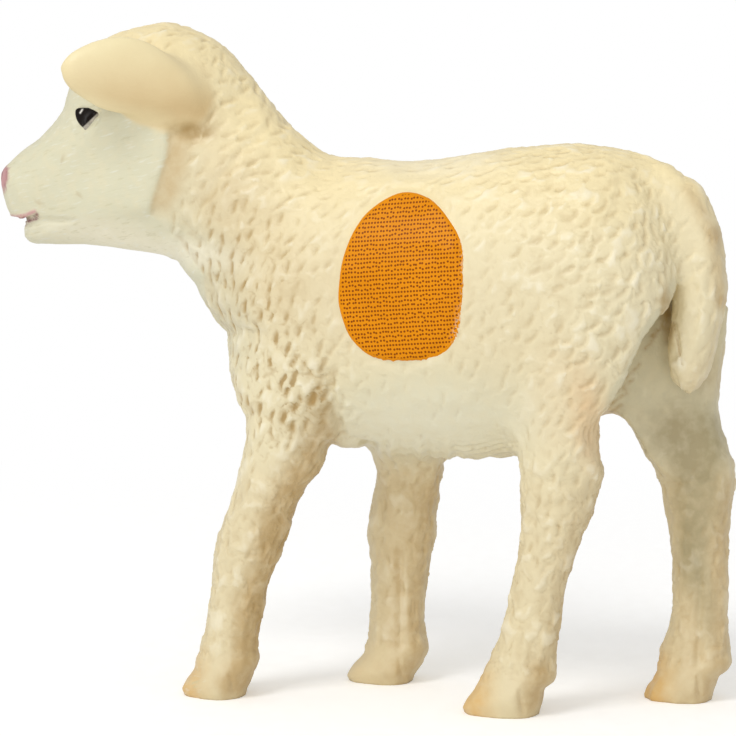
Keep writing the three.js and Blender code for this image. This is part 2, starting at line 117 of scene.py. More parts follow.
ACROSS = unit(centre("right_eye") - centre("left_eye"))
UP = np.array((0.0, 0.0, 1.0))
FORWARD = np.cross(UP, ACROSS)
BROW = (centre("left_eye") + centre("right_eye")) / 2
MID_Y = centre("tail")[1]
JOINT_HEIGHT = corners("body")[0][2]
SOLES = {m["name"].replace("sole", "leg"): np.array(m["pos_m"]) / MM for m in frame["record"]["mounts"]}
NECK_LEAN = math.radians(38.0)  # of the neck's joint face from upright
NECK_NORMAL = np.array((math.cos(NECK_LEAN), 0, -math.sin(NECK_LEAN)))


def neck_place():
    """A point in the middle of the gap between the head's joint face and the body's."""
    found = []
    for name, facing in (("head", NECK_NORMAL), ("body", -NECK_NORMAL)):
        flat = [p for p in frame["nodes"][name].data.polygons if p.normal.dot(Vector(facing)) > 0.9999]
        found.append(np.array(max(flat, key=lambda p: p.area).center) / MM)
    return sum(found) / 2


def in_photo(points):
    """Where points, in millimetres, show in the photograph: pixels across and down."""
    ray = points - CAMERA
    scale = FOCAL / (ray @ -BACK)
    across, up = (ray @ RIGHT) * scale, (ray @ np.cross(BACK, RIGHT)) * scale
    return np.stack((IMAGE / 2 + across, IMAGE / 2 - up), 1)


def out_of_photo(pixel, y):
    """The point at a depth y, in millimetres, that shows at a pixel of the photograph."""
    across, down = pixel
    ray = -BACK * FOCAL + RIGHT * (across - IMAGE / 2) + np.cross(BACK, RIGHT) * (IMAGE / 2 - down)
    return CAMERA + ray * (y - CAMERA[1]) / ray[1]


def ramp(value, start, end):
    """From 0 at start to 1 at end, with soft ends."""
    share = np.clip((value - start) / (end - start), 0, 1)
    return share * share * (3 - 2 * share)


def near_side(points):
    """The far half's points carried to the near half, through the head's middle plane or the trunk's."""
    beyond = np.maximum((points - BROW) @ ACROSS, 0)
    by_head = points - 2 * beyond[:, None] * ACROSS
    by_trunk = points.copy()
    by_trunk[:, 1] = MID_Y - np.abs(points[:, 1] - MID_Y)
    trunk = ramp(points[:, 0], BROW[0] + 7, BROW[0] + 13)[:, None]
    return by_head + (by_trunk - by_head) * trunk


def stroke(place, at, size, tilt=0.0):
    """A soft brush stroke in the photograph's pixels: 1 inside, and 0 well past its half width and height."""
    turn = math.radians(tilt)
    dx, dy = (place - np.array(at)).T
    along = (dx * math.cos(turn) - dy * math.sin(turn)) / size[0]
    across = (dx * math.sin(turn) + dy * math.cos(turn)) / size[1]
    return np.exp(-((along**2 + across**2) ** 1.5))


def strokes(place, table):
    """The sum of a table's strokes: place, half size, tilt and strength."""
    return sum(strength * stroke(place, at, size, tilt) for at, size, tilt, strength in table)


# The head's features, in the photograph's pixels: rows down and columns across
CHEEK_EDGE_DOWN = (20, 60, 100, 118, 142, 158, 173, 188, 201, 214, 224, 234, 250, 275)
CHEEK_EDGE_ACROSS = (104, 112, 150, 168, 168, 166, 161, 156, 152, 150, 162, 172, 184, 204)
BAND_TOP, BAND_BOTTOM, BAND_WIDTH = 118, 217, 25
MOUTH = ((10.0, 217.6), (25.0, 219.6)), ((25.0, 219.6), (37.0, 216.5))
LIP_PINK = ((21.0, 217.0), (34.5, 211.5)), ((11.0, 216.4), (24.0, 217.2))
LIP_MAUVE = ((23.6, 218.0), (24.6, 224.0)), ((28.5, 221.3), (36.0, 218.4)), ((36.0, 218.4), (36.8, 214.2))
NOSE_EDGE_DOWN = (160, 163, 168, 172, 178, 185, 190, 194, 199)
NOSE_EDGE_ACROSS = (0, 5, 7.4, 7.7, 7.6, 6.0, 4.6, 3.6, 0)
NOSTRIL_DOWN, NOSTRIL_SLANT_DOWN, LIP_GROOVE_DOWN = 182, 185, (188, 196)
EYE_SOCKET, SOCKET_SIZE = (86.0, 118.0), (15, 13)
EYE_RIM = ((75.1, 112), (77, 108.5), (83, 107.7), (90, 108.3), (98.9, 113.6), (94.5, 120), (86.2, 129.8),
           (83, 127.8), (79.2, 124), (76.2, 118.6))
EYE_PAINTED_HIGHLIGHT = (80.2, 112.9), (82.3, 109.6)  # a painted highlight: a dab of white in place of the lamp's reflection
EYE_PALE = (96.6, 112.8), (82.4, 126.6)  # the line past which the eye is pale
EAR_ROOT, EAR_TIP = (205.0, 99.0), (60.0, 66.0)
EAR_DIP = (190, 133), (20, 8), -8  # the dip under the ear's root

# The outlines of forehead and muzzle, of the jaw's underside, of breast and back, of the rump and far
# thigh, and of the tail where it hangs free
MUZZLE_DOWN = (88, 99, 106, 111, 118, 125.4, 132, 139, 144, 149, 152.7, 160.5, 164.7, 169, 173, 178, 185, 192,
               200.6, 209, 214.8, 217, 219.4, 236, 240, 243)
MUZZLE_ACROSS = (68.5, 65.3, 63.9, 61.9, 56.7, 51, 44.7, 37.2, 30.3, 22.9, 18.3, 10.6, 6.3, 2.8, 1.1, 0.7,
                 1.1, 2.8, 4.9, 7, 9.9, 13, 23.3, 23.3, 26, 30.3)
JAW_ACROSS = (26, 30.3, 35, 60, 85, 110, 135)
JAW_DOWN = (240, 243, 244, 244.3, 244.2, 246.8, 250)
BREAST_DOWN = (262, 272, 284, 296, 308, 320, 332, 344, 368, 380, 392, 404, 416, 440, 464, 488)
BREAST_ACROSS = (177, 184, 195, 200, 208, 216, 227, 228, 229, 231, 235, 239, 246, 246, 241, 234)
BACK_ACROSS = (150, 165, 180, 195, 210, 225, 240, 255, 270, 285, 300, 315, 330, 345, 375, 405, 420, 450, 480,
               510, 540, 570, 600, 630, 660, 675, 690)
BACK_DOWN = (24, 21, 24, 30, 36, 45, 60, 79, 100, 118, 133, 146, 155, 157, 158, 161, 161, 157, 152, 148,
             145, 143, 145, 151, 160, 167, 178)
RUMP_DOWN = (300, 332, 344, 356, 368, 380, 392, 404, 416, 428, 440, 452, 464)
RUMP_ACROSS = (727, 726, 725, 724, 722, 721, 720, 719, 720, 722, 727, 730, 735)
TAIL_DOWN = (262, 285, 301, 322, 345, 362, 376, 384, 389, 393)
TAIL_FRONT = (669, 671.5, 673, 672, 667, 667.5, 670, 674, 679, 687)
TAIL_REAR = (726, 727, 726, 723, 717, 713, 708, 703, 699, 692)
TAIL_CREASE = (673.9, 322), (681.8, 365)

# How far in from its outline each shift reaches, from nothing to full, and where along the outline it fades
OFF_PICTURE = -1000.0  # a place that no pixel has, for points that an outline leaves out
MUZZLE_REACH, MUZZLE_FADE = (62, 12), (43, 88)
CHIN_DOWN, CHIN_FADE, JAW_FADE = (215, 262), (214, 240), (150, 110)
BREAST_SIDE, BREAST_REACH, BREAST_TOP, BREAST_FOOT = 400, (50, 10), (255, 270), (502, 478)
BACK_REACH, BACK_START, BACK_END = (55, 12), (148, 165), (702, 685)
RUMP_SIDE, RUMP_REACH, RUMP_TOP, RUMP_FOOT = 560, (66, 34), (285, 310), (490, 460)
FAR_THIGH_Y = MID_Y + 1.6, MID_Y + 3.4  # in millimetres

# Folds and the belly's hem
ELBOW_FOLD = (326, 372), (343, 440)
BELLY_FOLD = (352, 440), (385, 447)
HEM_DOWN = (436, 448)
TEETH_START, TEETH_END = (378, 392), (470, 450)
STRANDS_START, STRANDS_END = (445, 462), (525, 508)

# The near thigh's rear edge, and the cleft beside it. Along the height, in millimetres: where the near
# thigh ends towards the cleft, and how far back the cleft's floor lies
THIGH_EDGE_DOWN = (276, 287, 304, 313, 329, 351, 367, 389, 412, 430)
THIGH_EDGE_ACROSS = (669, 668, 663, 653, 641, 633, 626, 611, 602, 600)
CLEFT_TOP = (272, 290)
CLEFT_HEIGHTS = (19, 21.5, 23, 25, 28, 30.5, 32, 33.5, 35)
CLEFT_EDGE = (-0.5, -1.0, -3.8, -5.1, -5.1, -5.0, -4.0, -2.4, -1.2)
CLEFT_FLOOR = (22.5, 22.2, 21.2, 21.8, 22.6, 23.3, 24.2, 25.2, 26.2)
HIND_X = 16.0  # past which the hindquarters lie
CLEFT_X = 18.0  # past which the near thigh's inner side faces the cleft

# Depths and heights of the carving, in millimetres
CHEEK_STEP, EAR_DIP_DEPTH = 0.2, 0.25
MOUTH_DEPTH, LIP_HEIGHT, MOUTH_CORNER_HEIGHT = 0.28, 0.12, 0.16
LID_HEIGHT, SOCKET_DEPTH = 0.16, 0.22
NOSTRIL_DEPTH, NOSTRIL_ASIDE, LIP_GROOVE_DEPTH = 0.32, 0.95, 0.14
ELBOW_DEPTH, BELLY_DEPTH, TEETH_HEIGHT, STRANDS_HEIGHT, CREASE_DEPTH = 0.32, 0.25, 0.09, 0.07, 0.22
HEEL_LEVEL, HEEL_HEIGHT, PASTERN_DEPTH, CLAW_DEPTH, TENDON_DEPTH = 3.1, 0.2, 0.12, 0.14, 0.28
SOLE_FLAT = 0.12  # below which a sole is level

# The legs' outlines: rows down, and where each leg begins and ends across
LEG_OUTLINES = {
    "front_left_leg": (
        (470, 488, 512, 536, 560, 584, 608, 632, 656, 674, 688),
        (239, 234, 225, 216, 213, 211, 208, 203, 195.5, 188, 182),
        (318, 308, 297, 289, 281, 270, 265, 260, 257.3, 255.5, 250),
    ),
    "front_right_leg": (
        (470, 488, 512, 536, 560, 584, 608, 632, 650, 662, 675),
        (376, 374, 369, 367, 370, 371, 370.5, 368, 361.5, 353.5, 347),
        (445, 440, 438, 437, 432, 428, 424.7, 425.8, 427, 425.5, 417),
    ),
    "hind_left_leg": (
        (470, 488, 512, 536, 560, 584, 608, 632, 656, 672, 681, 687, 707),
        (517.5, 520, 521, 520, 516, 511, 505, 499, 489.5, 481, 476, 472.5, 462.5),
        (603, 602, 595, 584, 576, 568, 563.5, 560, 557, 555.4, 552.5, 546.4, 544.5),
    ),
    "hind_right_leg": (
        (470, 488, 512, 536, 560, 584, 608, 632, 650, 662, 670, 675, 697),
        (653, 659, 665, 669, 672, 673, 671, 666, 659.5, 656, 654, 651.8, 642),
        (736, 735, 732, 730, 729, 728, 727.6, 729, 730.3, 730.3, 726.5, 721, 715),
    ),
}

# Corners of the gaps between the legs, and the tail's rear: place, half size and shift right and down
GRABS = (
    ((331, 453), (9, 10), (-3, -9)),
    ((367, 457), (10, 12), (3, -10)),
    ((448, 474), (10, 22), (-7, 0)),
    ((600, 468), (18, 26), (6, 0)),
    ((605, 442), (18, 27), (-11, 0)),
    ((622, 430), (18, 22), (0, -14)),
    ((644, 456), (20, 22), (3, 0)),
    ((727, 295), (14, 14), (2, 0)),
)

# The touch patch's rim
PATCH_RIM = (
    (338, 301), (339, 280), (341.5, 263), (347, 245), (355, 228), (368, 211), (388, 197), (407, 191),
    (426, 196), (438, 205), (449, 219), (459, 236), (463, 254), (463.5, 276), (462.5, 298), (461, 313),
    (459.5, 330), (454, 342), (444, 353), (426, 359.5), (405, 361.5), (384, 360.5), (370, 356), (359, 348),
    (349, 336), (342, 319),
)

# Brush strokes for the wool's depth, roughness, lean in degrees, bend and length, and for its paints and
# painted light and shade: place, half size, tilt in degrees and strength
WOOL_STROKES = (
    ((258, 345), (85, 120), 15, 0.35),
    ((600, 290), (95, 170), 10, 0.1),
    ((240, 140), (70, 80), -40, 0.2),
    ((430, 420), (100, 48), 3, -0.45),
    ((400, 275), (85, 105), 0, -0.2),
    ((395, 150), (110, 34), 6, -0.1),
)
ROUGH_STROKES = (
    ((430, 415), (110, 50), 3, -0.4),
    ((400, 275), (100, 120), 0, -0.1),
    ((600, 290), (95, 170), 10, 0.3),
    ((250, 340), (80, 120), 15, 0.2),
    ((310, 400), (40, 60), 10, 0.4),
    ((275, 100), (50, 80), -40, -0.25),
)
LEAN_STROKES = (
    ((240, 330), (80, 130), 10, 12.0),
    ((330, 260), (60, 90), 0, 34.0),
    ((600, 330), (110, 150), 10, 44.0),
    ((480, 150), (260, 42), 5, 74.0),
    ((210, 110), (70, 70), -40, 52.0),
    ((420, 420), (110, 50), 3, 8.0),
)
PLAIN_LEAN, LEG_LEAN = 28.0, 12.0  # of a groove's top from upright, towards the rump
ARC_STROKES = (((600, 300), (110, 190), 10, 0.55), ((430, 180), (120, 70), 6, 0.35))
WASH_STROKES = (
    ((324, 410), (13, 42), 14, 0.5),
    ((300, 425), (22, 36), 15, 0.22),
)
EAR_SHADE_HAZE = (209, 120), (20, 24), -20  # the fainter painted shade behind it
EAR_HOLLOW = (190, 131), (23, 10), -8  # the hollow under the ear's root, with ochre painted in as shade
# Painted shade behind the ear's root
SHADE_BEHIND_EAR = (199, 98), (10, 34), -6
CREVICE = (667, 316), (6, 30), 4  # the ochre crevice beside the tail
WISPS = (  # brown hairs in the cleft, each from its start to its end
    ((626, 378), (640, 364)), ((619, 391), (634, 378)), ((611, 404), (629, 391)), ((603, 419), (621, 405)),
    ((603, 430), (616, 416)), ((645, 349), (656, 336)), ((652, 336), (663, 327)),
)
SPECKS, SPECK_SIZE = ((41, 204), (77.5, 195), (63, 157)), (1.7, 1.7)  # of dirt on the muzzle
# Paler paint on throat, chin, back and belly: partly paint, partly painted light, most of it on undersides
# that the floor lights
PALE_AND_LIT_STROKES = (
    ((165, 250), (75, 15), -9, 0.6),
    ((85, 229), (60, 14), 0, 0.45),
    ((430, 160), (70, 18), 0, 0.4),
    ((420, 430), (100, 40), 3, 0.35),
)
# Painted shade: where tan is laid on wool that faces sideways or down
SIDE_SHADE_STROKES = (
    ((240, 250), (60, 90), 15, 0.36), ((320, 280), (50, 80), 0, 0.25), ((225, 180), (40, 40), 0, 0.15),
    ((500, 320), (60, 70), 0, 0.12), ((700, 385), (14, 26), 0, 0.4),
)
PIT_WASH_STROKES = (
    ((262, 370), (56, 95), 10, 0.45),
    ((235, 240), (70, 70), -20, 0.25),
)
LONG_STROKES = (
    ((318, 405), (34, 60), 10, 1.1),
    ((250, 350), (50, 90), 10, 0.25),
    ((240, 140), (60, 80), -40, 0.9),
    ((600, 290), (95, 150), 10, 0.8),
)
TAN_AND_SHADE_LINES = (  # each from its start to its end, with its half width and strength; tan along the rear edges of legs and tail and on the hooves, partly paint and partly painted shade
    ((316, 440), (284, 535), 22, 0.85),
    ((284, 535), (262, 610), 20, 0.9),
    ((262, 610), (249, 670), 18, 0.8),
    ((225, 684), (232, 680), 12, 0.5),
    ((530, 700), (540, 672), 12, 0.5),
    ((690, 190), (714, 235), 8, 0.6),
    ((714, 235), (722, 300), 8, 0.65),
    ((722, 300), (712, 360), 8, 0.3),
)
OLIVE_SHADE_STROKES = (  # the far hind leg's inner side: olive that is partly paint and partly painted shade
    ((688, 438), (42, 36), -20, 0.8),
    ((697, 495), (26, 50), 0, 0.85),
    ((692, 558), (16, 40), 0, 0.85),
    ((706, 605), (11, 36), 0, 0.5),
)
INNER_TAN_AND_SHADE = (0.75, 0.35, 0.75, 0.35)  # how much tan the inner side of each leg gets: partly paint, partly painted shade
TOE_PAINT = (0.8, 0.2, 0.8, 1.0)  # and how much of the toe's colour each hoof gets
BLUSH_STROKES = (((592, 425), (20, 55), 8, 0.75), ((560, 400), (30, 60), 0, 0.25))
GREEN_STROKES = (
    ((420, 425), (115, 55), 3, 0.85),
    ((150, 245), (90, 24), -8, 0.8),
    ((215, 300), (36, 75), 20, 0.75),
    ((100, 190), (85, 70), 0, 1.0),
)


# Skins in the making

class Net:
    """Points and four-sided faces of a skin in the making, in millimetres."""

    def __init__(self, mesh):
        self.points = np.empty(len(mesh.vertices) * 3)
        mesh.vertices.foreach_get("co", self.points)
        self.points = self.points.reshape(-1, 3)
        self.faces = np.empty(len(mesh.polygons) * 4, int)
        mesh.polygons.foreach_get("vertices", self.faces)
        self.faces = self.faces.reshape(-1, 4)
        self.pair_up()

    def pair_up(self):
        """Lists both points of every side of every face."""
        self.pairs = np.concatenate([self.faces[:, (a, (a + 1) % 4)] for a in range(4)])

    def normals(self):
        """The direction outward at every point."""
        a, b, c, d = (self.points[self.faces[:, n]] for n in range(4))
        facing = np.cross(c - a, d - b)
        total = np.stack([
            np.bincount(self.faces.ravel(), np.repeat(facing[:, axis], 4), len(self.points))
            for axis in range(3)
        ], 1)
        return unit(total)

    def pull(self, values, share):
        """Values drawn towards the mean of their neighbours' by a share."""
        start, end = self.pairs.T
        count = np.bincount(start, minlength=len(values))
        mean = np.stack([np.bincount(start, v[end], len(values)) / count for v in values.T], 1)
        return values + (mean - values) * share

    def smoothed(self, turns):
        """Facets melted away with the forms kept at their size: each pull is followed by a push back."""
        for _ in range(turns):
            self.points = self.pull(self.points, 0.6)
            self.points = self.pull(self.points, -0.62)

    def melted(self, share, turns):
        """Creases filled with a soft round, where there is a share of it."""
        for _ in range(turns):
            self.points = self.pull(self.points, 0.7 * share[:, None])

    def outer_shell(self):
        """Keeps the body with the most points, so that no inner wall is left."""
        label = np.arange(len(self.points))
        start, end = self.pairs.T
        while True:
            low = label.copy()
            np.minimum.at(low, start, label[end])
            low = low[low]
            if (low == label).all():
                break
            label = low
        kept = label == np.bincount(label).argmax()
        number = np.cumsum(kept) - 1
        self.faces = number[self.faces[kept[self.faces[:, 0]]]]
        self.points = self.points[kept]
        self.pair_up()

    def mesh(self, name, scale=1.0):
        """The skin as a Blender mesh."""
        made = bpy.data.meshes.new(name)
        made.from_pydata((self.points * scale).tolist(), [], self.faces.tolist())
        return made


def merged(node, change=None):
    """A CAD node's points and faces, merged, in millimetres. Change moves the points."""
    form = bmesh.new()
    form.from_mesh(frame["nodes"][node].data)
    bmesh.ops.remove_doubles(form, verts=form.verts, dist=1e-7)
    points = np.array([v.co for v in form.verts]) / MM
    faces = [[v.index for v in f.verts] for f in form.faces]
    form.free()
    return (change(points) if change else points), faces


def joined(parts):
    """One mesh of several bodies' points and faces."""
    points, faces = [], []
    for more_points, more_faces in parts:
        faces += [[v + len(points) for v in face] for face in more_faces]
        points += more_points.tolist()
    mesh = bpy.data.meshes.new("joined")
    mesh.from_pydata(points, [], faces)
    return mesh


def evaluated(mesh, dress):
    """A mesh with a modifier applied. Dress adds it to the object that it gets."""
    held = bpy.data.objects.new("held", mesh)
    bpy.context.scene.collection.objects.link(held)
    dress(held)
    graph = bpy.context.evaluated_depsgraph_get()
    made = bpy.data.meshes.new_from_object(
        held.evaluated_get(graph), preserve_all_data_layers=True, depsgraph=graph
    )
    bpy.data.objects.remove(held)
    return made


def remeshed(mesh, pitch):
    """The outside of overlapping bodies as one even net."""
    def dress(held):
        remesh = held.modifiers.new("Remesh", "REMESH")
        remesh.mode = "VOXEL"
        remesh.voxel_size = pitch

    return Net(evaluated(mesh, dress))


def sealed(parts, pitch, gap, turns):
    """One skin over bodies that lie up to a gap apart: grown until they close up, smoothed and drawn back."""
    net = remeshed(joined(parts), pitch * 1.3)
    net.points += net.normals() * gap
    net = remeshed(net.mesh("grown"), pitch)
    net.outer_shell()
    net.smoothed(turns)
    net.points -= net.normals() * gap
    net.smoothed(4)
    return net


# Forms and paint of the moulding

def groove(place, start, end, width):
    """1 on the line between two places in the photograph, fading to 0 past its half width."""
    start, end = np.array(start), np.array(end)
    line = end - start
    share = np.clip((place - start) @ line / (line @ line), 0, 1)
    away = np.linalg.norm(place - start - share[:, None] * line, axis=1)
    return np.exp(-((away / width) ** 2))


def own_leg(points):
    """The number of the leg that each point is nearest to."""
    away = [np.hypot(points[:, 0] - centre(leg)[0], 2 * (points[:, 1] - centre(leg)[1])) for leg in LEGS]
    return np.argmin(away, axis=0)


def before_cheek_edge(place):
    """How many pixels a place lies before the rear edge of cheek and throat, where the wool begins."""
    edge = np.interp(place[:, 1], CHEEK_EDGE_DOWN, CHEEK_EDGE_ACROSS)
    return edge - place[:, 0]


def outline_shift(along, out, lines, wanted, reach=1.5):
    """How far each line of points has to move out to its wanted place, for the lines that hold points."""
    found = np.array([np.max(out[np.abs(along - line) < reach], initial=OFF_PICTURE) for line in lines])
    held = found > OFF_PICTURE
    return np.interp(along, lines[held], (wanted - found)[held])


def shape_muzzle(net, off_ear):
    """The profile of brow, nose, lips and chin, and the jaw's underside."""
    across, down = in_photo(near_side(net.points)).T
    pixel = np.linalg.norm(CAMERA - BROW) / FOCAL
    rows = np.arange(MUZZLE_DOWN[0], MUZZLE_DOWN[-1], 1.0)
    wanted = np.interp(rows, MUZZLE_DOWN, MUZZLE_ACROSS)
    move = outline_shift(down, np.where(off_ear > 0.5, -across, OFF_PICTURE), rows, -wanted)
    edge = np.interp(down, MUZZLE_DOWN, MUZZLE_ACROSS)
    move *= ramp(across - edge, *MUZZLE_REACH) * ramp(down, *MUZZLE_FADE) * off_ear
    net.points += (move * pixel / -(FORWARD @ RIGHT))[:, None] * FORWARD

    across, down = in_photo(near_side(net.points)).T
    columns = np.arange(JAW_ACROSS[0], JAW_ACROSS[-1], 2.0)
    wanted = np.interp(columns, JAW_ACROSS, JAW_DOWN)
    chin = (down > CHIN_DOWN[0]) & (down < CHIN_DOWN[1])
    move = outline_shift(across, np.where(chin, down, OFF_PICTURE), columns, wanted, 2.0)
    move *= ramp(down, *CHIN_FADE) * chin * ramp(across, *JAW_FADE)
    net.points[:, 2] -= move * pixel


def shape_trunk(net, off_tail):
    """The profile of breast, nape, back and far thigh, and the corners of the gaps between the legs."""
    across, down = in_photo(net.points).T
    rows = np.arange(BREAST_DOWN[0], BREAST_DOWN[-1], 3.0)
    wanted = np.interp(rows, BREAST_DOWN, BREAST_ACROSS)
    move = outline_shift(down, np.where(across < BREAST_SIDE, -across, OFF_PICTURE), rows, -wanted)
    edge = np.interp(down, BREAST_DOWN, BREAST_ACROSS)
    move *= ramp(across - edge, *BREAST_REACH) * ramp(down, *BREAST_TOP) * ramp(down, *BREAST_FOOT)
    net.points -= (move * PIXEL)[:, None] * RIGHT

    columns = np.arange(BACK_ACROSS[0], BACK_ACROSS[-1], 3.0)
    wanted = np.interp(columns, BACK_ACROSS, BACK_DOWN)
    wanted[3:-3] = np.convolve(wanted, np.ones(7) / 7, "valid")
    move = outline_shift(across, -down, columns, -wanted)
    edge = np.interp(across, columns, wanted)
    move *= ramp(down - edge, *BACK_REACH) * ramp(across, *BACK_START) * ramp(across, *BACK_END)
    net.points[:, 2] += move * PIXEL

    rows = np.arange(RUMP_DOWN[0], RUMP_DOWN[-1], 3.0)
    wanted = np.interp(rows, RUMP_DOWN, RUMP_ACROSS)
    far = ramp(net.points[:, 1], *FAR_THIGH_Y) * off_tail
    move = outline_shift(down, np.where(far > 0.9, across, OFF_PICTURE), rows, wanted)
    edge = np.interp(down, RUMP_DOWN, RUMP_ACROSS)
    move *= ramp(edge - across, *RUMP_REACH) * far * ramp(down, *RUMP_TOP) * ramp(down, *RUMP_FOOT)
    move *= across > RUMP_SIDE
    net.points += (move * PIXEL)[:, None] * RIGHT

    place = in_photo(net.points)
    for at, size, (right, lower) in GRABS:
        net.points += (stroke(place, at, size) * PIXEL)[:, None] * (right * RIGHT - lower * UP)


def fitted(points, rows_down, begins, ends, share, reach=5):
    """Points whose outline, row by row, is brought to the one in the photograph."""
    across, down = in_photo(points).T
    rows = np.arange(rows_down[0], rows_down[-1], 3.0)
    beside = [across[np.abs(down - row) < reach] for row in rows]
    begin = np.interp(down, rows, [b.min() for b in beside])
    end = np.interp(down, rows, [b.max() for b in beside])
    new_begin = np.interp(down, rows_down, begins)
    new_end = np.interp(down, rows_down, ends)
    moved = new_begin + (across - begin) * (new_end - new_begin) / (end - begin)
    pixel = ((points - CAMERA) @ -BACK)[:, None] / FOCAL
    return points + ((moved - across) * share)[:, None] * pixel * RIGHT


def shape_legs(net):
    """The profile of each leg and hoof."""
    leg = own_leg(net.points)
    low = net.points[:, 2] < JOINT_HEIGHT + 0.5
    for number, name in enumerate(LEGS):
        own = low & (leg == number)
        share = ramp(net.points[own, 2], JOINT_HEIGHT + 0.4, JOINT_HEIGHT - 1)
        net.points[own] = fitted(net.points[own], *LEG_OUTLINES[name], share)


def carve_head(net, off_ear):
    """Lips, nostrils, lids, the cheek's rear edge and the hollow under the ears."""
    shape_muzzle(net, off_ear)
    normals = net.normals()
    place = in_photo(near_side(net.points))
    across, down = place.T
    head = ramp(net.points[:, 0], BROW[0] + 9, BROW[0] + 5) * off_ear
    before_edge = before_cheek_edge(place)
    cheek = ramp(down, BAND_TOP - 8, BAND_TOP + 6) * ramp(down, BAND_BOTTOM + 6, BAND_BOTTOM - 8) * off_ear
    height = CHEEK_STEP * cheek * np.tanh(before_edge / 3) * np.exp(-((before_edge / 22) ** 2))
    height -= EAR_DIP_DEPTH * stroke(place, *EAR_DIP)

    for start, end in MOUTH:
        height -= head * MOUTH_DEPTH * groove(place, start, end, 1.7)
    for start, end in LIP_PINK:
        height += head * LIP_HEIGHT * groove(place, start, end, 2.0)
    height += head * MOUTH_CORNER_HEIGHT * groove(place, *LIP_MAUVE[1], 1.6)

    ring = np.hypot((across - EYE_SOCKET[0]) / SOCKET_SIZE[0], (down - EYE_SOCKET[1]) / SOCKET_SIZE[1])
    lid = LID_HEIGHT * np.exp(-(((ring - 1) / 0.25) ** 2))
    height += head * (lid - SOCKET_DEPTH * np.exp(-((ring / 0.75) ** 4)))

    # Nostrils: a comma either side of the middle, and a groove down to the lip
    aside = np.abs((net.points - BROW) @ ACROSS)
    front = ramp(normals @ FORWARD, 0.1, 0.5) * head
    comma_aside = aside - NOSTRIL_ASIDE - 0.012 * (NOSTRIL_SLANT_DOWN - down)
    comma = np.hypot(comma_aside / 0.22, (down - NOSTRIL_DOWN) / 6)
    lip_groove = np.exp(-((aside / 0.16) ** 2)) * ramp(down, *LIP_GROOVE_DOWN)
    height -= front * (NOSTRIL_DEPTH * np.exp(-(comma**2)) + LIP_GROOVE_DEPTH * lip_groove)
    net.points += normals * height[:, None]


def distances(points, body, reach):
    """How far points are from a body of points and faces, as far as a reach."""
    tree = BVHTree.FromPolygons(body[0].tolist(), body[1])
    low, high = body[0].min(0) - reach, body[0].max(0) + reach
    away = np.full(len(points), float(reach))
    for n in np.flatnonzero(((points > low) & (points < high)).all(1)):
        found = tree.find_nearest(Vector(points[n]), reach)[3]
        away[n] = reach if found is None else found
    return away


def tapered_tail(points):
    """The tail with the outline that it has in the photograph where it hangs free."""
    down = in_photo(points)[:, 1]
    return fitted(points, TAIL_DOWN, TAIL_FRONT, TAIL_REAR, ramp(down, TAIL_DOWN[0], TAIL_DOWN[0] + 25), 9)


def with_cleft(body):
    """The body with the cleft between its thighs run up to the tail's root, in millimetres."""
    net = remeshed(joined([body]), 0.3)
    x, y, z = net.points.T
    edge = np.interp(z, CLEFT_HEIGHTS, CLEFT_EDGE)
    beside = ramp(y, edge - 0.4, edge + 0.9) * ramp(y, MID_Y + 2.6, MID_Y + 0.2)
    floor = np.interp(z, CLEFT_HEIGHTS, CLEFT_FLOOR)
    high = ramp(z, CLEFT_HEIGHTS[-1] + 0.6, CLEFT_HEIGHTS[-1] - 0.6)
    net.points[:, 0] -= np.maximum(x - floor, 0) * beside * high
    return net.points, net.faces.tolist()


def carve_trunk(net, off_tail):
    """The fold behind the elbow, the belly's ragged hem and hair, and the crease of the tail."""
    shape_trunk(net, off_tail)
    normals = net.normals()
    place = in_photo(near_side(net.points))
    across, down = place.T
    height = -ELBOW_DEPTH * groove(place, *ELBOW_FOLD, 4.5)
    height -= BELLY_DEPTH * groove(place, *BELLY_FOLD, 2.5)
    level = net.points[:, 2] - JOINT_HEIGHT
    under = ramp(down, *HEM_DOWN) * ramp(level, 6, 3) * ramp(level, -1.5, 0)
    teeth = np.sin(across / 4.1) + np.sin(across / 2.3 + 1)
    height += TEETH_HEIGHT * under * teeth * ramp(across, *TEETH_START) * ramp(across, *TEETH_END)
    strands = np.sin((down + 0.12 * across + 2 * np.sin(across / 13)) * 1.25)
    height += STRANDS_HEIGHT * under * strands * ramp(across, *STRANDS_START) * ramp(across, *STRANDS_END)
    height -= CREASE_DEPTH * (1 - off_tail) * groove(place, *TAIL_CREASE, 1.6)
    net.points += normals * height[:, None]


def carve_legs(net):
    """Heels, the dip above them, the cleft between the claws, and tendons."""
    shape_legs(net)
    normals = net.normals()
    leg = own_leg(net.points)
    x, y, z = net.points.T
    foot = np.array([SOLES[name] for name in LEGS])[leg]
    ahead, aside = foot[:, 0] - x, y - foot[:, 1]
    inner = aside * np.where(foot[:, 1] < MID_Y, 1, -1)
    rear = ramp(ahead, -0.6, -2.0)
    height = HEEL_HEIGHT * rear * np.exp(-(((z - HEEL_LEVEL) / 0.7) ** 2))
    height -= PASTERN_DEPTH * rear * ramp(z, 2.3, 1.9) * ramp(z, -1, 1)
    claws = np.exp(-(((ahead + 1.15 - 0.1 * z) / 0.2) ** 2)) * ramp(z, 2.7, 2.2) * ramp(z, 0.1, 0.7)
    height -= CLAW_DEPTH * claws
    tendon = np.exp(-(((ahead + 0.9) / 0.35) ** 2)) * ramp(inner, 0.8, 1.8)
    height -= TENDON_DEPTH * tendon * ramp(z, 2.8, 3.6) * ramp(z, 13, 10)
    net.points += normals * height[:, None]
    net.points[:, 2] = np.where(net.points[:, 2] < SOLE_FLAT, 0, net.points[:, 2])


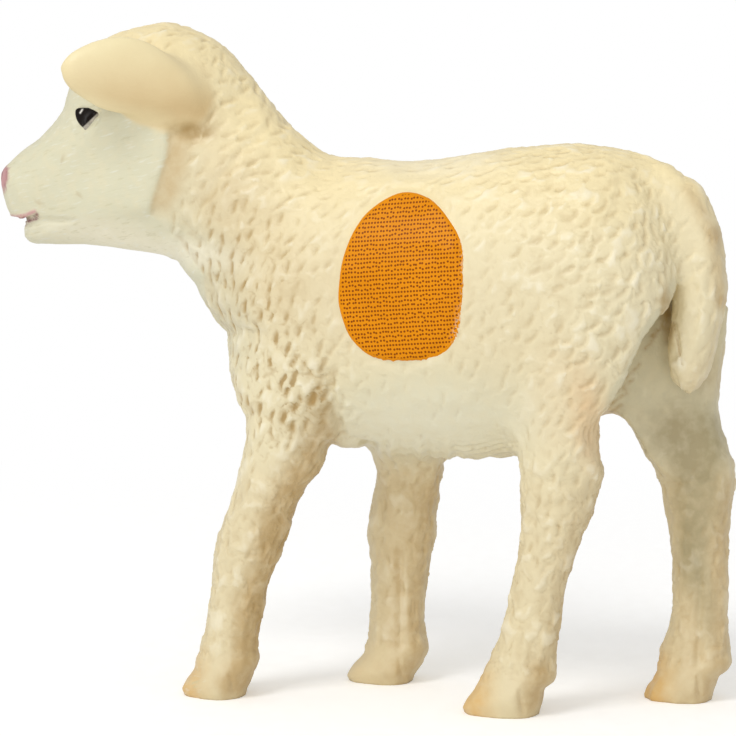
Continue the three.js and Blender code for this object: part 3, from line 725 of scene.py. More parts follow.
def regions(points, normals, parts, ear):
    """What lies where on the skin, point by point: shares from 0 to 1, places in the photograph, lengths."""
    at = SimpleNamespace(points=points, normals=normals, tail=parts["tail"], ear=ear)
    at.x, at.y, at.z = points.T
    at.place = in_photo(near_side(points))
    at.there = in_photo(points)
    at.leg = ramp(at.z, JOINT_HEIGHT + 3, JOINT_HEIGHT - 2)
    at.trunk = 1 - at.leg
    at.own = own_leg(points)
    foot = np.array([SOLES[name] for name in LEGS])[at.own]
    at.ahead = foot[:, 0] - at.x
    at.inner = ramp((at.y - foot[:, 1]) * np.where(foot[:, 1] < MID_Y, 1, -1), -0.5, 1.5)
    at.hoof = ramp(at.z + 0.25 * np.maximum(at.ahead, 0), 4.0, 2.6)

    at.before_neck = ramp(at.x, BROW[0] + 14, BROW[0] + 11)
    before_edge = before_cheek_edge(at.place)
    at.face = ramp(before_edge, -2, 2) * at.before_neck
    behind, down = -before_edge, at.place[:, 1]
    at.band = ramp(behind, -1.5, 1.5) * ramp(behind, BAND_WIDTH + 8, BAND_WIDTH - 12)
    at.band *= ramp(down, BAND_TOP - 6, BAND_TOP + 4) * ramp(down, BAND_BOTTOM + 8, BAND_BOTTOM - 20)
    at.band *= at.before_neck
    at.hollow = stroke(at.place, *EAR_HOLLOW) * at.before_neck

    seen = ramp(normals @ BACK, -0.05, 0.2) * (1 - at.tail) * (at.x > HIND_X)
    past_edge = at.there[:, 0] - np.interp(at.there[:, 1], THIGH_EDGE_DOWN, THIGH_EDGE_ACROSS)
    far_inner = ramp(past_edge, -2, 3) * ramp(at.there[:, 1], *CLEFT_TOP) * ramp(at.y, MID_Y + 7.5, MID_Y + 3)
    near_inner = ramp(normals[:, 1], 0.2, 0.6) * (at.y < MID_Y) * (at.x > CLEFT_X)
    near_inner *= ramp(at.z, 34, 31) * (1 - at.tail)
    at.cleft = np.maximum(far_inner * seen, near_inner) * ramp(at.z, JOINT_HEIGHT - 1, JOINT_HEIGHT + 4)
    at.olive_and_shade = np.clip(strokes(at.there, OLIVE_SHADE_STROKES), 0, 1) * seen * (at.y > MID_Y)
    return at


def coat_masks(at, patch):
    """How deep, how long and which way the wool's grooves go, and how rough the skin is between them."""
    wool = np.clip(0.7 + strokes(at.place, WOOL_STROKES), 0.05, 1) * (1 - at.face) * (1 - at.band)
    wool *= 1 - at.leg * (0.15 + 0.45 * ramp(at.z, 12, 4))
    wool *= (1 - at.hoof) * patch * (1 - 0.8 * at.cleft) * (1 - 0.6 * at.olive_and_shade)
    wool *= (1 - 0.35 * at.tail) * (1 - at.ear) * (1 - at.hollow)
    rough = np.clip(0.62 + strokes(at.place, ROUGH_STROKES), 0.12, 1) * (1 - 0.93 * at.face)
    rough *= 1 - 0.8 * at.band
    rough = (rough + at.leg * (1 - rough) * (1 - 0.5 * at.inner)) * (1 - 0.85 * at.hoof)
    rough *= patch * (1 - 0.5 * at.cleft) * (1 - 0.4 * at.olive_and_shade) * (1 - 0.95 * at.ear) * (1 - 0.7 * at.hollow)
    lean = PLAIN_LEAN + sum(
        (angle - PLAIN_LEAN) * stroke(at.place, place, size, tilt)
        for place, size, tilt, angle in LEAN_STROKES
    )
    lean = np.radians(lean) * at.trunk + math.radians(LEG_LEAN) * at.leg
    flow = np.stack((np.sin(lean), 0 * lean, np.cos(lean)), 1)
    return {
        "flow": unit(flow - (flow * at.normals).sum(1)[:, None] * at.normals),
        "arc": strokes(at.place, ARC_STROKES) * at.trunk + 0.3 * at.leg,
        "long": strokes(at.place, LONG_STROKES),
        "wool": wool,
        "rough": rough,
    }


def coat_paint(at):
    """How much of each sprayed or wiped paint, and of the painted light and shade, every point of the coat,
    legs and cheeks gets.
    """
    face, band = at.face * (1 - at.ear), at.band * (1 - at.ear)
    tan = sum(strength * groove(at.place, start, end, width) for start, end, width, strength in TAN_AND_SHADE_LINES)
    wash_and_shade = (strokes(at.place, WASH_STROKES) * at.trunk + 0.3 * at.leg * tan) * (1 - at.ear)
    # Tan on the legs' rear-facing and inner sides: partly paint, partly painted shade away from the light
    leg_tan_and_shade = 0.35 * ramp(at.normals[:, 0], 0.0, 0.9)
    leg_tan_and_shade += np.array(INNER_TAN_AND_SHADE)[at.own] * at.inner * ramp(at.ahead, 2.5, 0)
    shade_behind_ear = stroke(at.place, *SHADE_BEHIND_EAR) * at.before_neck
    # Painted shade: tan on the sides of the wool that turn away from the light above
    painted_side_shade = strokes(at.place, SIDE_SHADE_STROKES) * (1 - face) * (1 - at.leg) * ramp(at.normals[:, 2], 0.8, 0.2)
    tan += 0.7 * band + 0.45 * shade_behind_ear + at.leg * (0.2 + leg_tan_and_shade) + painted_side_shade

    facing = at.normals @ BACK
    # Painted shade: ochre in the hollow under the ear's root, fainter behind it
    wash_and_shade += 0.85 * at.hollow + 0.35 * stroke(at.place, *EAR_SHADE_HAZE) * at.before_neck
    wash_and_shade += 0.9 * stroke(at.there, *CREVICE) * (at.x > HIND_X) * (at.y > MID_Y - 6) * (facing > -0.3)
    wash_and_shade += 0.7 * sum(groove(at.there, *line, 1.5) for line in WISPS) * at.cleft
    wash_and_shade += 0.7 * groove(at.place, *TAIL_CREASE, 0.9) * at.tail
    wash_and_shade += sum(stroke(at.there, place, SPECK_SIZE) for place in SPECKS) * (facing > 0)
    pit_wash = np.clip(0.24 + strokes(at.place, PIT_WASH_STROKES) * at.trunk, 0, 1)
    # In the cleft between the thighs, the greener cream and the olive are partly painted shade
    green = strokes(at.place, GREEN_STROKES) + 0.6 * at.cleft + 0.85 * face
    return {
        # Painted top light: a warm pale cream where the trunk's wool faces up, high on the back
        "lit_top": ramp(at.normals[:, 2], -0.15, 0.85) * at.trunk * ramp(at.z, 30, 44) * (1 - 0.75 * face),
        "green": np.clip(green, 0, 1) * (1 - 0.5 * at.leg),
        "olive_and_shade": np.clip(at.olive_and_shade + 0.25 * at.cleft, 0, 1),
        "tan": np.clip(tan, 0, 1),
        # Partly painted light on the undersides
        "pale": np.clip(strokes(at.place, PALE_AND_LIT_STROKES), 0, 1) * (1 - at.leg) * (1 - at.ear),
        "wash_and_shade": np.clip(wash_and_shade, 0, 1),
        "pit_wash": pit_wash * (1 - 0.6 * at.tail),
        "blush": np.clip(strokes(at.place, BLUSH_STROKES), 0, 1) * (1 - 0.6 * at.leg),
        "toe": ramp(at.ahead, 0.2, 3.0) * ramp(at.z, 6.5, 1.5) * at.leg * np.array(TOE_PAINT)[at.own],
    }


def face_paint(at):
    """The pink and mauve of nose, nostrils, lips and mouth, and the face round them."""
    face = at.face * (1 - at.ear)
    across, down = at.place.T
    edge = np.interp(down, NOSE_EDGE_DOWN, NOSE_EDGE_ACROSS, 0, 0)
    nose = ramp(across - edge, 0.5, -0.5) * (edge > 0) * face
    rim = nose * ramp(np.abs(across - edge + 0.6), 1.6, 0.4)
    aside = np.abs((at.points - BROW) @ ACROSS)
    nostril = nose * ramp(np.abs(aside - 1.0), 0.3, 0.1)
    pink = np.maximum(nose, sum(groove(at.place, *line, 1.8) for line in LIP_PINK) * face)
    mauve = sum(groove(at.place, *line, 1.5) for line in LIP_MAUVE) + 0.7 * groove(at.place, *MOUTH[0], 1.2)
    return {
        "pink": np.clip(pink, 0, 1),
        "mauve": np.clip(mauve * face + 0.15 * nose + 0.45 * rim + 0.5 * nostril, 0, 1),
        "face": face * (1 - nose),
    }


def ear_paint(at):
    """The ears, and how far their tan has turned to cream: at the upper edge, partly as painted top light, at
    the tip and at the lower edge.
    """
    root, along, broad, _, length_of_ear = ear_frame("left")
    held = near_side(at.points) - root
    rise, tip = held @ broad / EAR_BREADTH, held @ along / length_of_ear
    light = 0.75 * ramp(rise, -0.25, 0.5) + 0.55 * ramp(tip, 0.3, 1.0) + 0.5 * ramp(rise, -0.2, -0.42)
    return {"ear": at.ear, "ear_pale_and_lit": np.clip(light, 0, 1)}


def give(mesh, masks):
    """Stores the masks on a mesh's points."""
    for name, values in masks.items():
        kind, field = ("FLOAT_VECTOR", "vector") if values.ndim == 2 else ("FLOAT", "value")
        mesh.attributes.new(name, kind, "POINT").data.foreach_set(field, values.astype(np.float32).ravel())


# Materials and node trees

MATH, VECTOR, MIX, RANGE = "ShaderNodeMath", "ShaderNodeVectorMath", "ShaderNodeMix", "ShaderNodeMapRange"
NOISE, COORDINATES, STORED = "ShaderNodeTexNoise", "ShaderNodeTexCoord", "ShaderNodeAttribute"
NAMED, SAMPLE = "GeometryNodeInputNamedAttribute", "GeometryNodeSampleIndex"


def linear(code):
    """An sRGB hex colour as linear numbers."""
    parts = [int(code[i : i + 2], 16) / 255 for i in (1, 3, 5)]
    return tuple(c / 12.92 if c <= 0.04045 else ((c + 0.055) / 1.055) ** 2.4 for c in parts)


def add(tree, kind, inputs=(), out=0, **settings):
    """Adds a node and gives back one of its outputs. Inputs, by place or name, are values or links."""
    made = tree.nodes.new(kind)
    for name, value in settings.items():
        setattr(made, name, value)
    for key, value in inputs.items() if isinstance(inputs, dict) else enumerate(inputs):
        if isinstance(value, bpy.types.NodeSocket):
            tree.links.new(value, made.inputs[key])
        else:
            made.inputs[key].default_value = value
    return made.outputs[out] if made.outputs else made


def maths(tree, operation, *values, **settings):
    """What an operation makes of values or links."""
    return add(tree, MATH, values, operation=operation, **settings)


def mixed(tree, share, below, above):
    """One colour laid over another by a share."""
    return add(tree, MIX, {0: share, 6: below, 7: above}, out=2, data_type="RGBA")


def sizes():
    """The sizes set in the panel."""
    return bpy.context.scene.lamb_sizes


def colours():
    """The colours set in the panel."""
    return bpy.context.scene.lamb_colours


def paint(name):
    """One of the colours, opaque."""
    return (*getattr(colours(), name), 1.0)


def relief_tree():
    """The wool's grooves and lumps: every point finds its nearest groove and sinks or rises by it."""
    tree = bpy.data.node_groups.new("Woolly relief", "GeometryNodeTree")
    tree.interface.new_socket("Geometry", in_out="INPUT", socket_type="NodeSocketGeometry")
    for name in ("Spacing", "Length", "Width", "Depth", "Lump Pitch", "Lump Height", "Crease Depth"):
        tree.interface.new_socket(name, in_out="INPUT", socket_type="NodeSocketFloat")
    tree.interface.new_socket("Seed", in_out="INPUT", socket_type="NodeSocketInt")
    tree.interface.new_socket("Material", in_out="INPUT", socket_type="NodeSocketMaterial")
    tree.interface.new_socket("Geometry", in_out="OUTPUT", socket_type="NodeSocketGeometry")
    given = add(tree, "NodeGroupInput").node.outputs
    wool, rough, arc, longer = (
        add(tree, NAMED, {"Name": name}, data_type="FLOAT") for name in ("wool", "rough", "arc", "long")
    )
    flow = add(tree, NAMED, {"Name": "flow"}, data_type="FLOAT_VECTOR")
    place = add(tree, "GeometryNodeInputPosition")
    normal = add(tree, "GeometryNodeInputNormal")

    # Grooves lie at least a spacing apart, and thin out where there is little wool
    cell = maths(tree, "POWER", given["Spacing"], 2.0)
    crowd = maths(tree, "DIVIDE", 4.0, cell)
    thin = maths(tree, "POWER", wool, 0.5)
    scattered = add(tree, "GeometryNodeDistributePointsOnFaces", {
        "Mesh": given["Geometry"], "Distance Min": given["Spacing"], "Density Max": crowd,
        "Density Factor": thin, "Seed": given["Seed"],
    }, distribute_method="POISSON").node.outputs
    marked = add(tree, "GeometryNodeStoreNamedAttribute", {
        "Geometry": scattered["Points"], "Name": "facing", "Value": scattered["Normal"],
    }, data_type="FLOAT_VECTOR", domain="POINT")
    nearest = add(tree, "GeometryNodeSampleNearest", (marked,), domain="POINT")
    chance = add(tree, "FunctionNodeRandomValue", {"Seed": given["Seed"]}, out=1, data_type="FLOAT")
    turn_seed = maths(tree, "ADD", given["Seed"], 1.0)
    turn = add(tree, "FunctionNodeRandomValue", {
        2: -0.35, 3: 0.35, "Seed": turn_seed,
    }, out=1, data_type="FLOAT")
    facing = add(tree, NAMED, {"Name": "facing"}, data_type="FLOAT_VECTOR")
    luck, own_turn, longer = (
        add(tree, SAMPLE, (marked, field, nearest), data_type="FLOAT")
        for field in (chance, turn, longer)
    )
    own_place, own_flow, own_facing = (
        add(tree, SAMPLE, (marked, field, nearest), data_type="FLOAT_VECTOR")
        for field in (place, flow, facing)
    )
    own_flow = add(tree, "ShaderNodeVectorRotate", {
        "Vector": own_flow, "Axis": own_facing, "Angle": own_turn,
    }, rotation_type="AXIS_ANGLE")

    # Along and across the groove, which bends by the arc
    offset = add(tree, VECTOR, (place, own_place), operation="SUBTRACT")
    sideways = add(tree, VECTOR, (own_facing, own_flow), operation="CROSS_PRODUCT")
    along = add(tree, VECTOR, (offset, own_flow), out=1, operation="DOT_PRODUCT")
    straight = add(tree, VECTOR, (offset, sideways), out=1, operation="DOT_PRODUCT")
    square = maths(tree, "MULTIPLY", along, along)
    bend = maths(tree, "MULTIPLY", arc, -1 / MM)
    across = maths(tree, "MULTIPLY_ADD", square, bend, straight)
    spread = maths(tree, "MULTIPLY_ADD", luck, 0.7, 0.65)
    spread = maths(tree, "MULTIPLY_ADD", spread, longer, spread)
    half = maths(tree, "MULTIPLY", given["Length"], spread)
    end_on = maths(tree, "DIVIDE", along, half)
    end_on = maths(tree, "MULTIPLY", end_on, end_on)
    broad = maths(tree, "MULTIPLY_ADD", longer, 0.45, 1.0)
    broad = maths(tree, "MULTIPLY", broad, given["Width"])
    wide = maths(tree, "DIVIDE", across, broad)

    # The groove, and the lip of the tuft beside it: soft walls, shifted and broadened in groove widths
    chosen = maths(tree, "MULTIPLY_ADD", luck, 0.5, 0.5)
    strength = maths(tree, "MULTIPLY", thin, chosen)
    walls = []
    for shift, broad in ((0.0, 1.0), (2.0, 1.2)):
        away = maths(tree, "MULTIPLY_ADD", wide, 1 / broad, shift / broad)
        fall = maths(tree, "MULTIPLY_ADD", away, away, end_on)
        fall = maths(tree, "MULTIPLY", fall, -1.0)
        soft = maths(tree, "EXPONENT", fall)
        walls.append(maths(tree, "MULTIPLY", soft, strength))
    pit, lip = walls
    low = maths(tree, "MULTIPLY", pit, -1.0)
    dent = maths(tree, "MULTIPLY_ADD", lip, 0.42, low)
    dent = maths(tree, "MULTIPLY", dent, given["Depth"])

    # Lumps of the hand-cut pattern, and narrow creases where a second field of lumps crosses its middle
    fine = maths(tree, "DIVIDE", 1.0, given["Lump Pitch"])
    lumps = add(tree, NOISE, {
        "Vector": place, "Scale": fine, "Detail": 3.0, "Roughness": 0.55, "Distortion": 0.3,
    })
    lump = maths(tree, "SUBTRACT", lumps, 0.5)
    lump = maths(tree, "MULTIPLY", lump, given["Lump Height"])
    fields = add(tree, NOISE, {"Vector": place, "Scale": fine, "Detail": 1.0, "Distortion": 0.6}, out=1)
    field = add(tree, "ShaderNodeSeparateXYZ", (fields,))
    near_middle = maths(tree, "SUBTRACT", field, 0.5)
    near_middle = maths(tree, "ABSOLUTE", near_middle)
    crease = add(tree, RANGE, (near_middle, 0.0, 0.05, -1.0, 0.0), interpolation_type="SMOOTHSTEP")
    crease = maths(tree, "MULTIPLY", crease, given["Crease Depth"])
    cut = maths(tree, "ADD", lump, crease)
    height = maths(tree, "MULTIPLY_ADD", cut, rough, dent)
    push = add(tree, VECTOR, {0: normal, "Scale": height}, operation="SCALE")
    moved = add(tree, "GeometryNodeSetPosition", {"Geometry": given["Geometry"], "Offset": push})
    level = maths(tree, "DIVIDE", height, given["Depth"])
    kept = add(tree, "GeometryNodeStoreNamedAttribute", {
        "Geometry": moved, "Name": "level", "Value": level,
    }, data_type="FLOAT", domain="POINT")
    solid = add(tree, "GeometryNodeRealizeInstances", (kept,))
    painted = add(tree, "GeometryNodeSetMaterial", {"Geometry": solid, "Material": given["Material"]})
    add(tree, "NodeGroupOutput", (painted,))
    return tree


def woolly(mesh, material, seed, budget=None):
    """A skin with the woolly relief pressed in, and thinned to a budget of triangles."""
    held_sizes = sizes()
    values = {
        "Spacing": held_sizes.pit_spacing, "Length": held_sizes.pit_length, "Width": held_sizes.pit_width,
        "Depth": held_sizes.pit_depth, "Lump Pitch": held_sizes.lump_pitch,
        "Lump Height": held_sizes.lump_height, "Crease Depth": held_sizes.crease_depth,
        "Seed": seed, "Material": material,
    }
    tree = bpy.data.node_groups.get("Woolly relief") or relief_tree()

    def dress(held):
        relief = held.modifiers.new("Woolly relief", "NODES")
        relief.node_group = tree
        for socket in tree.interface.items_tree:
            if socket.in_out == "INPUT" and socket.name in values:
                relief[socket.identifier] = values[socket.name]
        if budget:
            thin = held.modifiers.new("Thin", "DECIMATE")
            thin.ratio = min(1.0, budget / (2 * len(mesh.polygons)))

    return evaluated(mesh, dress)


def new_material(name):
    """A material with its shader, and the tree to build on."""
    material = bpy.data.materials.new(name)
    material.use_nodes = True
    tree = material.node_tree
    tree.nodes.clear()
    shader = add(tree, "ShaderNodeBsdfPrincipled").node
    add(tree, "ShaderNodeOutputMaterial", (shader.outputs[0],))
    return material, tree, shader


def painted_vinyl():
    """Soft PVC, moulded and sprayed in thin satin paints, with ochre wiped into its grooves.

    The wash darkens the hollows and leaves the high wool pale, which is what makes the coat read as wool.
    Some layers are painted light and shade: light on the wool's top, the ears' upper edge and the pale
    undersides, shade on the sides, the legs' backs and inner sides, under the ears and in the cleft.
    """
    found = bpy.data.materials.get("painted_soft_vinyl")
    if found:
        return found
    material, tree, shader = new_material("painted_soft_vinyl")
    place = add(tree, COORDINATES, out="Object")
    names = (
        "lit_top", "green", "blush", "tan", "olive_and_shade", "toe", "pale", "wash_and_shade", "pit_wash", "pink", "mauve", "level",
        "face", "ear", "ear_pale_and_lit",
    )
    mask = {name: add(tree, STORED, out="Fac", attribute_name=name) for name in names}
    blotches = add(tree, NOISE, {"Vector": place, "Scale": 1 / (4.0 * MM), "Detail": 3.0})
    spray = add(tree, NOISE, {"Vector": place, "Scale": 1 / (0.9 * MM), "Detail": 4.0})
    broken = add(tree, RANGE, (spray, 0.3, 0.7, 0.72, 1.15))
    depth = add(tree, RANGE, (mask["level"], -0.15, -0.9, 0.0, 1.0))
    bare = maths(tree, "MULTIPLY_ADD", mask["tan"], -0.38, 0.5)
    ridge = add(tree, RANGE, (mask["level"], 0.1, 0.6, 0.0, bare))
    pits = maths(tree, "MULTIPLY", depth, mask["pit_wash"])
    ochre_share = maths(tree, "MULTIPLY", mask["wash_and_shade"], broken)
    wiped = add(tree, RANGE, (mask["level"], -0.1, 0.45, 1.0, 0.25))
    ochre_share = maths(tree, "MULTIPLY", ochre_share, wiped)
    ochre_share = maths(tree, "MULTIPLY_ADD", pits, 1.3, ochre_share, use_clamp=True)
    warm_blotches = maths(tree, "MULTIPLY", blotches, 0.25)
    # The first layer is painted top light; the blotches are the paint's own uneven warm tone
    layers = [("cream_warm_and_lit", mask["lit_top"]), ("cream_warm_and_lit", warm_blotches)]
    sprays = ("cream_green", "green"), ("blush", "blush"), ("tan", "tan"), ("olive_and_shade", "olive_and_shade"), ("toe", "toe")
    for name, share in (*sprays, ("ridge", "pale")):
        layers.append((name, maths(tree, "MULTIPLY", mask[share], broken, use_clamp=True)))
    layers.append(("ridge", ridge))
    shade = paint("cream")
    for name, share in layers:
        shade = mixed(tree, share, shade, paint(name))

    cloud = maths(tree, "MULTIPLY_ADD", blotches, 0.5, -0.25)
    light = maths(tree, "ADD", mask["ear_pale_and_lit"], cloud, use_clamp=True)
    leaf_shade = mixed(tree, light, paint("ear_tan"), paint("ear_cream"))
    shade = mixed(tree, mask["ear"], shade, leaf_shade)
    for name, share in (("ochre", ochre_share), ("pink", mask["pink"]), ("mauve", mask["mauve"])):
        shade = mixed(tree, share, shade, paint(name))

    # Hair strokes on the face, 0.25 mm apart and five times as long, rising a little towards the ear
    combed = add(tree, "ShaderNodeVectorRotate", {
        "Vector": place, "Axis": (0, 1, 0), "Angle": math.radians(15),
    }, rotation_type="AXIS_ANGLE")
    combed = add(tree, VECTOR, (combed, (0.2, 0.4, 1.0)), operation="MULTIPLY")
    hairs = add(tree, NOISE, {"Vector": combed, "Scale": 1 / (0.25 * MM), "Detail": 2.0})
    pale_hair = add(tree, RANGE, (hairs, 0.6, 0.75, 0.0, 0.42))
    pale_hair = maths(tree, "MULTIPLY", pale_hair, mask["face"])
    dark_hair = add(tree, RANGE, (hairs, 0.4, 0.28, 0.0, 0.4))
    dark_hair = maths(tree, "MULTIPLY", dark_hair, mask["face"])
    for name, share in (("pale_hair", pale_hair), ("dark_hair", dark_hair)):
        shade = mixed(tree, share, shade, paint(name))
    tree.links.new(shade, shader.inputs["Base Color"])
    grain = add(tree, NOISE, {"Vector": place, "Scale": 1 / (0.22 * MM), "Detail": 2.0})
    surface = add(tree, MIX, {0: mask["face"], 2: grain, 3: hairs}, data_type="FLOAT")
    bump = add(tree, "ShaderNodeBump", {"Height": surface, "Strength": 0.3, "Distance": 0.08 * MM})
    tree.links.new(bump, shader.inputs["Normal"])
    rough = add(tree, RANGE, (blotches, 0.3, 0.7, 0.36, 0.5))
    tree.links.new(rough, shader.inputs["Roughness"])
    shader.inputs["IOR"].default_value = 1.52
    shader.inputs["Specular IOR Level"].default_value = 0.4
    return material


# Pieces

def shown(name, mesh, nodes, material=None):
    """Puts a finished mesh, in metres, in the scene in place of its CAD nodes."""
    if material:
        mesh.materials.clear()
        mesh.materials.append(material)
    mesh.name = name
    mesh.shade_smooth()
    piece = bpy.data.objects.new(name, mesh)
    bpy.context.scene.collection.objects.link(piece)
    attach(piece, "root")
    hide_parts(*nodes)
    return piece


def labelled(mesh):
    """Gives every face the number of the part that it belongs to, by its points' masks."""
    at = np.empty(len(mesh.loops), int)
    mesh.loops.foreach_get("vertex_index", at)
    starts = np.empty(len(mesh.polygons), int)
    mesh.polygons.foreach_get("loop_start", starts)
    count = np.diff(np.append(starts, len(at)))
    label = np.zeros(len(starts), int)
    values = np.empty(len(mesh.vertices), np.float32)
    for number, name in enumerate(PARTS, 1):
        mesh.attributes[name].data.foreach_get("value", values)
        label[np.add.reduceat(values[at], starts) / count > 0.5] = number
    mesh.attributes.new("part", "INT", "FACE").data.foreach_set("value", label)


RIM_DEPTH = 0.45  # how far a cut piece's rim turns in under the skin


def cut_out(mesh, planes, part=0, leg=None):
    """A closed piece of a skin: one part, behind each plane, near one leg, with its open rims filled."""
    form = bmesh.new()
    form.from_mesh(mesh)
    label = form.faces.layers.int["part"]
    bmesh.ops.delete(form, geom=[f for f in form.faces if f[label] != part], context="FACES")
    for point, normal in planes:
        every = [*form.verts, *form.edges, *form.faces]
        place, facing = Vector(point) * MM, Vector(normal)
        bmesh.ops.bisect_plane(form, geom=every, plane_co=place, plane_no=facing, clear_outer=True)
    if leg is not None:
        near = own_leg(np.array([v.co for v in form.verts]) / MM) == leg
        bmesh.ops.delete(form, geom=[v for v, stays in zip(form.verts, near) if not stays], context="VERTS")
    turned_in = bmesh.ops.extrude_edge_only(form, edges=[e for e in form.edges if e.is_boundary])["geom"]
    facing = form.verts.layers.float_vector["facing"]
    for v in turned_in:
        if isinstance(v, bmesh.types.BMVert):
            v.co -= v[facing] * RIM_DEPTH * MM
    bmesh.ops.holes_fill(form, edges=[e for e in form.edges if e.is_boundary], sides=0)
    made = bpy.data.meshes.new("cut")
    form.to_mesh(made)
    form.free()
    made.shade_smooth()
    facing = np.empty(len(made.vertices) * 3, np.float32)
    made.attributes["facing"].data.foreach_get("vector", facing)
    made.normals_split_custom_set_from_vertices(facing.reshape(-1, 3).tolist())
    return made


def eased(net, margin):
    """0 under the touch patch and 1 past a margin round it, on the flank that carries it."""
    low, high = corners("touch_patch")
    middle, half = (low + high) / 2, (high - low) / 2 + margin
    across = (net.points[:, 0] - middle[0]) / half[0]
    up = (net.points[:, 2] - middle[2]) / half[2]
    on_flank = net.points[:, 1] < MID_Y
    return np.where(on_flank, ramp(np.hypot(across, up), 0.94, 1.06), 1)


SEAM_REACH = 3.0  # how far from a body its distance is measured, in millimetres
EYE_SHARE, STUMP_SHARE = 0.93, 0.2  # how far out the eyes and ears that fill their pockets stand
PATCH_MARGIN = 0.3  # how far past the patch the wool begins


def moulding():
    """The nine moulded pieces, body, head, legs, tail and ears, cut from one skin."""
    held = sizes()
    tail, body, head = merged("tail", tapered_tail), with_cleft(merged("body")), merged("head")
    leaves = {side: leaf(*ear_frame(side)) for side in SIDES}
    bodies = [tail, body, head, merged("touch_patch"), *(merged(leg) for leg in LEGS), *leaves.values()]
    for side in SIDES:
        bodies.append(merged(f"{side}_eye", lambda p: (p - BROW) * EYE_SHARE + BROW))
        bodies.append(merged(f"{side}_ear", ear_stump))
    net = sealed(bodies, held.net_pitch / MM, held.closing / MM, held.melting)

    to_tail, to_body, to_head = (distances(net.points, of, SEAM_REACH) for of in (tail, body, head))
    to_ear = {side: distances(net.points, leaves[side], SEAM_REACH) for side in SIDES}
    parts = {"tail": to_tail < to_body, **{f"{side}_ear": to_ear[side] < to_head for side in SIDES}}
    parts = {name: share.astype(float) for name, share in parts.items()}
    at_ears = np.minimum(to_ear["left"], to_ear["right"])
    at_root = ramp(np.maximum(at_ears, to_head), 2.2, 0.4)
    at_tail = ramp(np.maximum(to_tail, to_body), 2.6, 0.6)
    at_tail *= ramp(net.points[:, 2], CLEFT_HEIGHTS[-1] - 0.5, CLEFT_HEIGHTS[-1] + 2.5)
    net.melted(at_root, 2 * held.melting)
    net.melted(at_tail, 4 * held.melting)
    ear = ramp(at_ears, 1.0, 0.2)

    carve_head(net, 1 - ear)
    carve_trunk(net, 1 - parts["tail"])
    carve_legs(net)
    mesh = net.mesh("skin", MM)
    at = regions(net.points, net.normals(), parts, ear)
    coat = coat_masks(at, eased(net, PATCH_MARGIN))
    for masks in (parts, coat, coat_paint(at), face_paint(at), ear_paint(at)):
        give(mesh, masks)
    mesh = woolly(mesh, painted_vinyl(), seed=4, budget=held.budget)
    facing = np.empty(len(mesh.vertices) * 3, np.float32)
    mesh.vertex_normals.foreach_get("vector", facing)
    mesh.attributes.new("facing", "FLOAT_VECTOR", "POINT").data.foreach_set("vector", facing)
    labelled(mesh)

    neck, joint = neck_place(), (0, 0, JOINT_HEIGHT)
    trunk = cut_out(mesh, [(neck, -NECK_NORMAL), (joint, -UP)])
    shown("body_skin", trunk, ["body"], painted_vinyl())
    shown("head_skin", cut_out(mesh, [(neck, NECK_NORMAL)]), ["head"], painted_vinyl())
    for number, leg in enumerate(LEGS):
        shown(f"{leg}_skin", cut_out(mesh, [(joint, UP)], leg=number), [leg], painted_vinyl())
    for number, name in enumerate(PARTS, 1):
        shown(f"{name}_skin", cut_out(mesh, [], number), [name], painted_vinyl())


def ear_stump(points):
    """An ear drawn in to its root, which fills its pocket in the head."""
    root = points[np.argmax(points[:, 0])]
    return root + (points - root) * STUMP_SHARE


def ear_frame(side):
    """An ear's root and its directions: along to the tip, broad upwards and out from the head."""
    depth = corners("left_ear")
    root = out_of_photo(EAR_ROOT, depth[1][1] - 0.3)
    tip = out_of_photo(EAR_TIP, depth[0][1] + 0.75)
    along = unit(tip - root)
    out = unit(np.cross(along, UP))
    out = out if out @ ACROSS < 0 else -out
    broad = np.cross(out, along)
    broad = broad if broad[2] > 0 else -broad
    frame_of_near = root, along, broad, out, np.linalg.norm(tip - root)
    if side == "left":
        return frame_of_near
    turned = [v - 2 * (v @ ACROSS) * ACROSS for v in (root - BROW, along, broad, out)]
    return turned[0] + BROW, *turned[1:], frame_of_near[-1]


# An ear's outline and thickness: shares of its length from the root, of its breadth and of its thickness
EAR_ALONG_SHARES = (0.0, 0.02, 0.07, 0.16, 0.26, 0.37, 0.48, 0.59, 0.7, 0.81, 0.91, 0.965, 1.0)
EAR_ABOVE_SHARES = (0.02, 0.13, 0.22, 0.34, 0.43, 0.51, 0.545, 0.55, 0.5, 0.4, 0.26, 0.15, 0.0)
EAR_BELOW_SHARES = (0.1, 0.3, 0.4, 0.42, 0.41, 0.41, 0.435, 0.43, 0.4, 0.33, 0.25, 0.15, 0.0)
EAR_THICK_SHARES = (0.16, 0.34, 0.46, 0.52, 0.52, 0.5, 0.47, 0.44, 0.41, 0.37, 0.3, 0.2, 0.0)
EAR_BREADTH, EAR_THICKNESS = 6.5, 2.6
EAR_CUP = 0.55  # depth of the hollow
EAR_ROWS, EAR_ROUND = 64, 56


def capped_tube(rows, around):
    """The faces of a tube of rings whose points are followed by those at its first and last end."""
    first, last = rows * around, rows * around + 1
    faces = []
    for n in range(around):
        m = (n + 1) % around
        faces.append((first, n, m))
        for row in range(rows - 1):
            near, far = row * around, (row + 1) * around
            faces.append((near + n, far + n, far + m, near + m))
        faces.append((last, far + m, far + n))
    return faces


